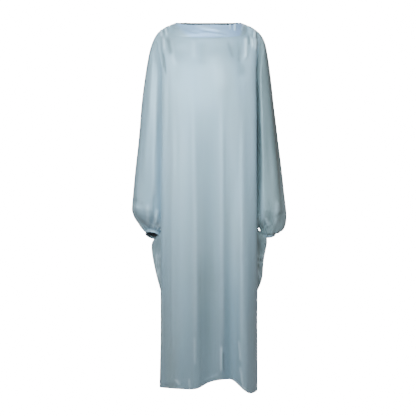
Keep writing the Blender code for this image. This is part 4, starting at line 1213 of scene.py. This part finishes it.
# Stitching
# Lock stitches in a matching thread: one row round the hem, one along the neckband just above its seam,
# and one round each cuff. Each stitch is a short thread lying on the satin.
STITCH_LENGTH = 0.0032
STITCH_GAP = 0.0012
THREAD = 0.00035
STITCH_STEPS = 8
STITCH_END = 6
STITCH_TIP = 0.35
THREAD_RISE = CLOTH * 0.1 + THREAD * 0.4
HEM_DEPTH = 0.014
BAND_STITCH_SHARE = 0.10
CUFF_STITCH_SHARE = 0.72
CUFF_STITCH_OUT = 0.001
THREAD_DARK = (0.34, 0.42, 0.48, 1.0)
THREAD_LIGHT = (0.46, 0.54, 0.60, 1.0)


def stitch_row(name, cloth, line):
    """Short threads laid end to end along a line on a piece of cloth, each following the cloth's face."""
    corners = [vertex.co.copy() for vertex in cloth.data.vertices]
    tree = BVHTree.FromPolygons(corners, [tuple(face.vertices) for face in cloth.data.polygons])
    length = sum((b - a).length for a, b in zip(line, line[1:]))
    count = int(length / (STITCH_LENGTH + STITCH_GAP))
    fine = along(line, count * STITCH_STEPS)
    vertices, faces = [], []
    for first in range(0, count * STITCH_STEPS, STITCH_STEPS):
        run = (fine[first + STITCH_END] - fine[first]).normalized()
        rings = []
        for step, swell in ((0, STITCH_TIP), (STITCH_END // 2, 1.0), (STITCH_END, STITCH_TIP)):
            onto, normal = tree.find_nearest(fine[first + step])[:2]
            outward = normal if normal.dot(Vector((onto.x, onto.y, 0.0))) > 0 else -normal
            aside = outward.cross(run).normalized()
            rings.append([len(vertices) + corner for corner in range(4)])
            for corner in range(4):
                turn = math.pi / 2 * corner + math.pi / 4
                lift = (outward * math.sin(turn) + aside * math.cos(turn)) * THREAD * swell
                vertices.append(onto + outward * THREAD_RISE + lift)
        for low, high in zip(rings, rings[1:]):
            for corner in range(4):
                after = (corner + 1) % 4
                faces.append((low[corner], low[after], high[after], high[corner]))
        faces.append(rings[0][::-1])
        faces.append(rings[-1])
    mesh = bpy.data.meshes.new(name)
    mesh.from_pydata(vertices, [], faces)
    row = bpy.data.objects.new(name, mesh)
    bpy.context.scene.collection.objects.link(row)
    only(row)
    bpy.ops.object.mode_set(mode="EDIT")
    bpy.ops.mesh.select_all(action="SELECT")
    bpy.ops.mesh.normals_make_consistent(inside=False)
    bpy.ops.object.mode_set(mode="OBJECT")
    bpy.ops.object.shade_smooth()
    mesh.materials.append(thread_finish)
    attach(row, "root")


thread_finish = bpy.data.materials.new("thread")
thread_finish.use_nodes = True
tree = thread_finish.node_tree
twist = add(tree, "TexNoise", {"Vector": add(tree, "TexCoord", {}).outputs["Object"], "Scale": 900.0})
twist_colour = tinted(tree, twist.outputs["Fac"], THREAD_DARK, THREAD_LIGHT)
join(tree, tree.nodes["Principled BSDF"], {"Base Color": twist_colour, "Roughness": 0.55})

for name, cloth, grid in (("front_panel", front_panel, front_grid), ("back_panel", back_panel, back_grid)):
    line = [low + (above - low).normalized() * HEM_DEPTH for low, above in zip(grid[-1], grid[-2])]
    stitch_row("hem_stitches_" + name, cloth, line)
for half, facing in (("front", -1), ("back", 1)):
    rows = band_rows(facing)
    line = [low.lerp(above, BAND_STITCH_SHARE) for low, above in zip(rows[-1], rows[-2])]
    stitch_row("neckband_stitches_" + half, neckbands[half], line)
for side in ("left", "right"):
    ring = cuff_ring(side, CUFF_RADIUS + CUFF_STITCH_OUT, CUFF_HEIGHT * CUFF_STITCH_SHARE)
    stitch_row("cuff_stitches_" + side, cuffs[side], ring + ring[:1])


# Studio
# A pale floor and a white room with five soft lights: a wide key light high in front, one overhead, a tall
# one at each side and one behind. The camera is level with the middle of the dress, and far off.
FLOOR_Z = -1.46
CAMERA_AWAY = 14.0
CAMERA_X = -0.002
CAMERA_Z = -0.700
FRAME_WIDTH = 1.597
SENSOR = 36.0
WHITE = (1.0, 1.0, 1.0, 1.0)
WHITE_GLOW = 17.0


def show_white(tree, plain, glow, output):
    """Show the camera a white glow where all other light meets the plain finish."""
    seen = add(tree, "LightPath", {}).outputs["Is Camera Ray"]
    glow = add(tree, glow, {"Color": WHITE, "Strength": WHITE_GLOW})
    either = add(tree, "MixShader", {0: seen, 1: plain.outputs[0], 2: glow.outputs[0]})
    join(tree, tree.nodes[output], {"Surface": either.outputs[0]})


bpy.ops.object.select_all(action="DESELECT")
bpy.ops.mesh.primitive_plane_add(size=16.0, location=(0.0, 0.0, FLOOR_Z))
floor = bpy.context.object
floor.name = "floor"
floor_finish = bpy.data.materials.new("floor")
floor_finish.use_nodes = True
tree = floor_finish.node_tree
plain = tree.nodes["Principled BSDF"]
join(tree, plain, {"Base Color": (0.55, 0.56, 0.57, 1.0), "Roughness": 0.9})
show_white(tree, plain, "Emission", "Material Output")
floor.data.materials.append(floor_finish)

world = bpy.data.worlds.new("studio")
bpy.context.scene.world = world
world.use_nodes = True
tree = world.node_tree
room = tree.nodes["Background"]
join(tree, room, {"Color": (1.0, 0.975, 0.94, 1.0), "Strength": 0.285})
show_white(tree, room, "Background", "World Output")

STUDIO_LIGHTS = table("name x y z power width height spread aim_z colour", [
    ("key", -0.55, -2.10, 0.42, 19.2, 1.9, 1.2, 64.0, -0.19, (0.66, 0.88, 1.0)),
    ("top", 0.1, -0.45, 1.6, 6.0, 1.0, 0.5, 180.0, -0.05, (0.84, 0.94, 1.0)),
    ("right", 1.7, -1.8, 0.0, 2.8, 0.3, 1.8, 180.0, -0.5, (1.0, 1.0, 1.0)),
    ("left", -1.9, -1.5, 0.0, 6.0, 0.5, 1.8, 180.0, -0.5, (1.0, 1.0, 1.0)),
    ("back", 0.6, 2.4, 0.8, 30.0, 1.6, 1.4, 180.0, -0.6, (1.0, 1.0, 1.0)),
])
for row in STUDIO_LIGHTS:
    lamp = bpy.data.lights.new(row["name"], "AREA")
    lamp.shape = "RECTANGLE"
    lamp.size = row["width"]
    lamp.size_y = row["height"]
    lamp.energy = row["power"]
    lamp.spread = math.radians(row["spread"])
    lamp.color = row["colour"]
    holder = bpy.data.objects.new(row["name"], lamp)
    bpy.context.scene.collection.objects.link(holder)
    holder.location = (row["x"], row["y"], row["z"])
    aim = Vector((0.0, 0.0, row["aim_z"])) - Vector(holder.location)
    holder.rotation_euler = aim.to_track_quat("-Z", "Y").to_euler()

camera = bpy.data.cameras.new("camera")
camera.sensor_width = SENSOR
camera.lens = SENSOR * CAMERA_AWAY / FRAME_WIDTH
holder = bpy.data.objects.new("camera", camera)
bpy.context.scene.collection.objects.link(holder)
holder.location = (CAMERA_X, -CAMERA_AWAY, CAMERA_Z)
holder.rotation_euler = (math.pi / 2, 0.0, 0.0)
bpy.context.scene.camera = holder
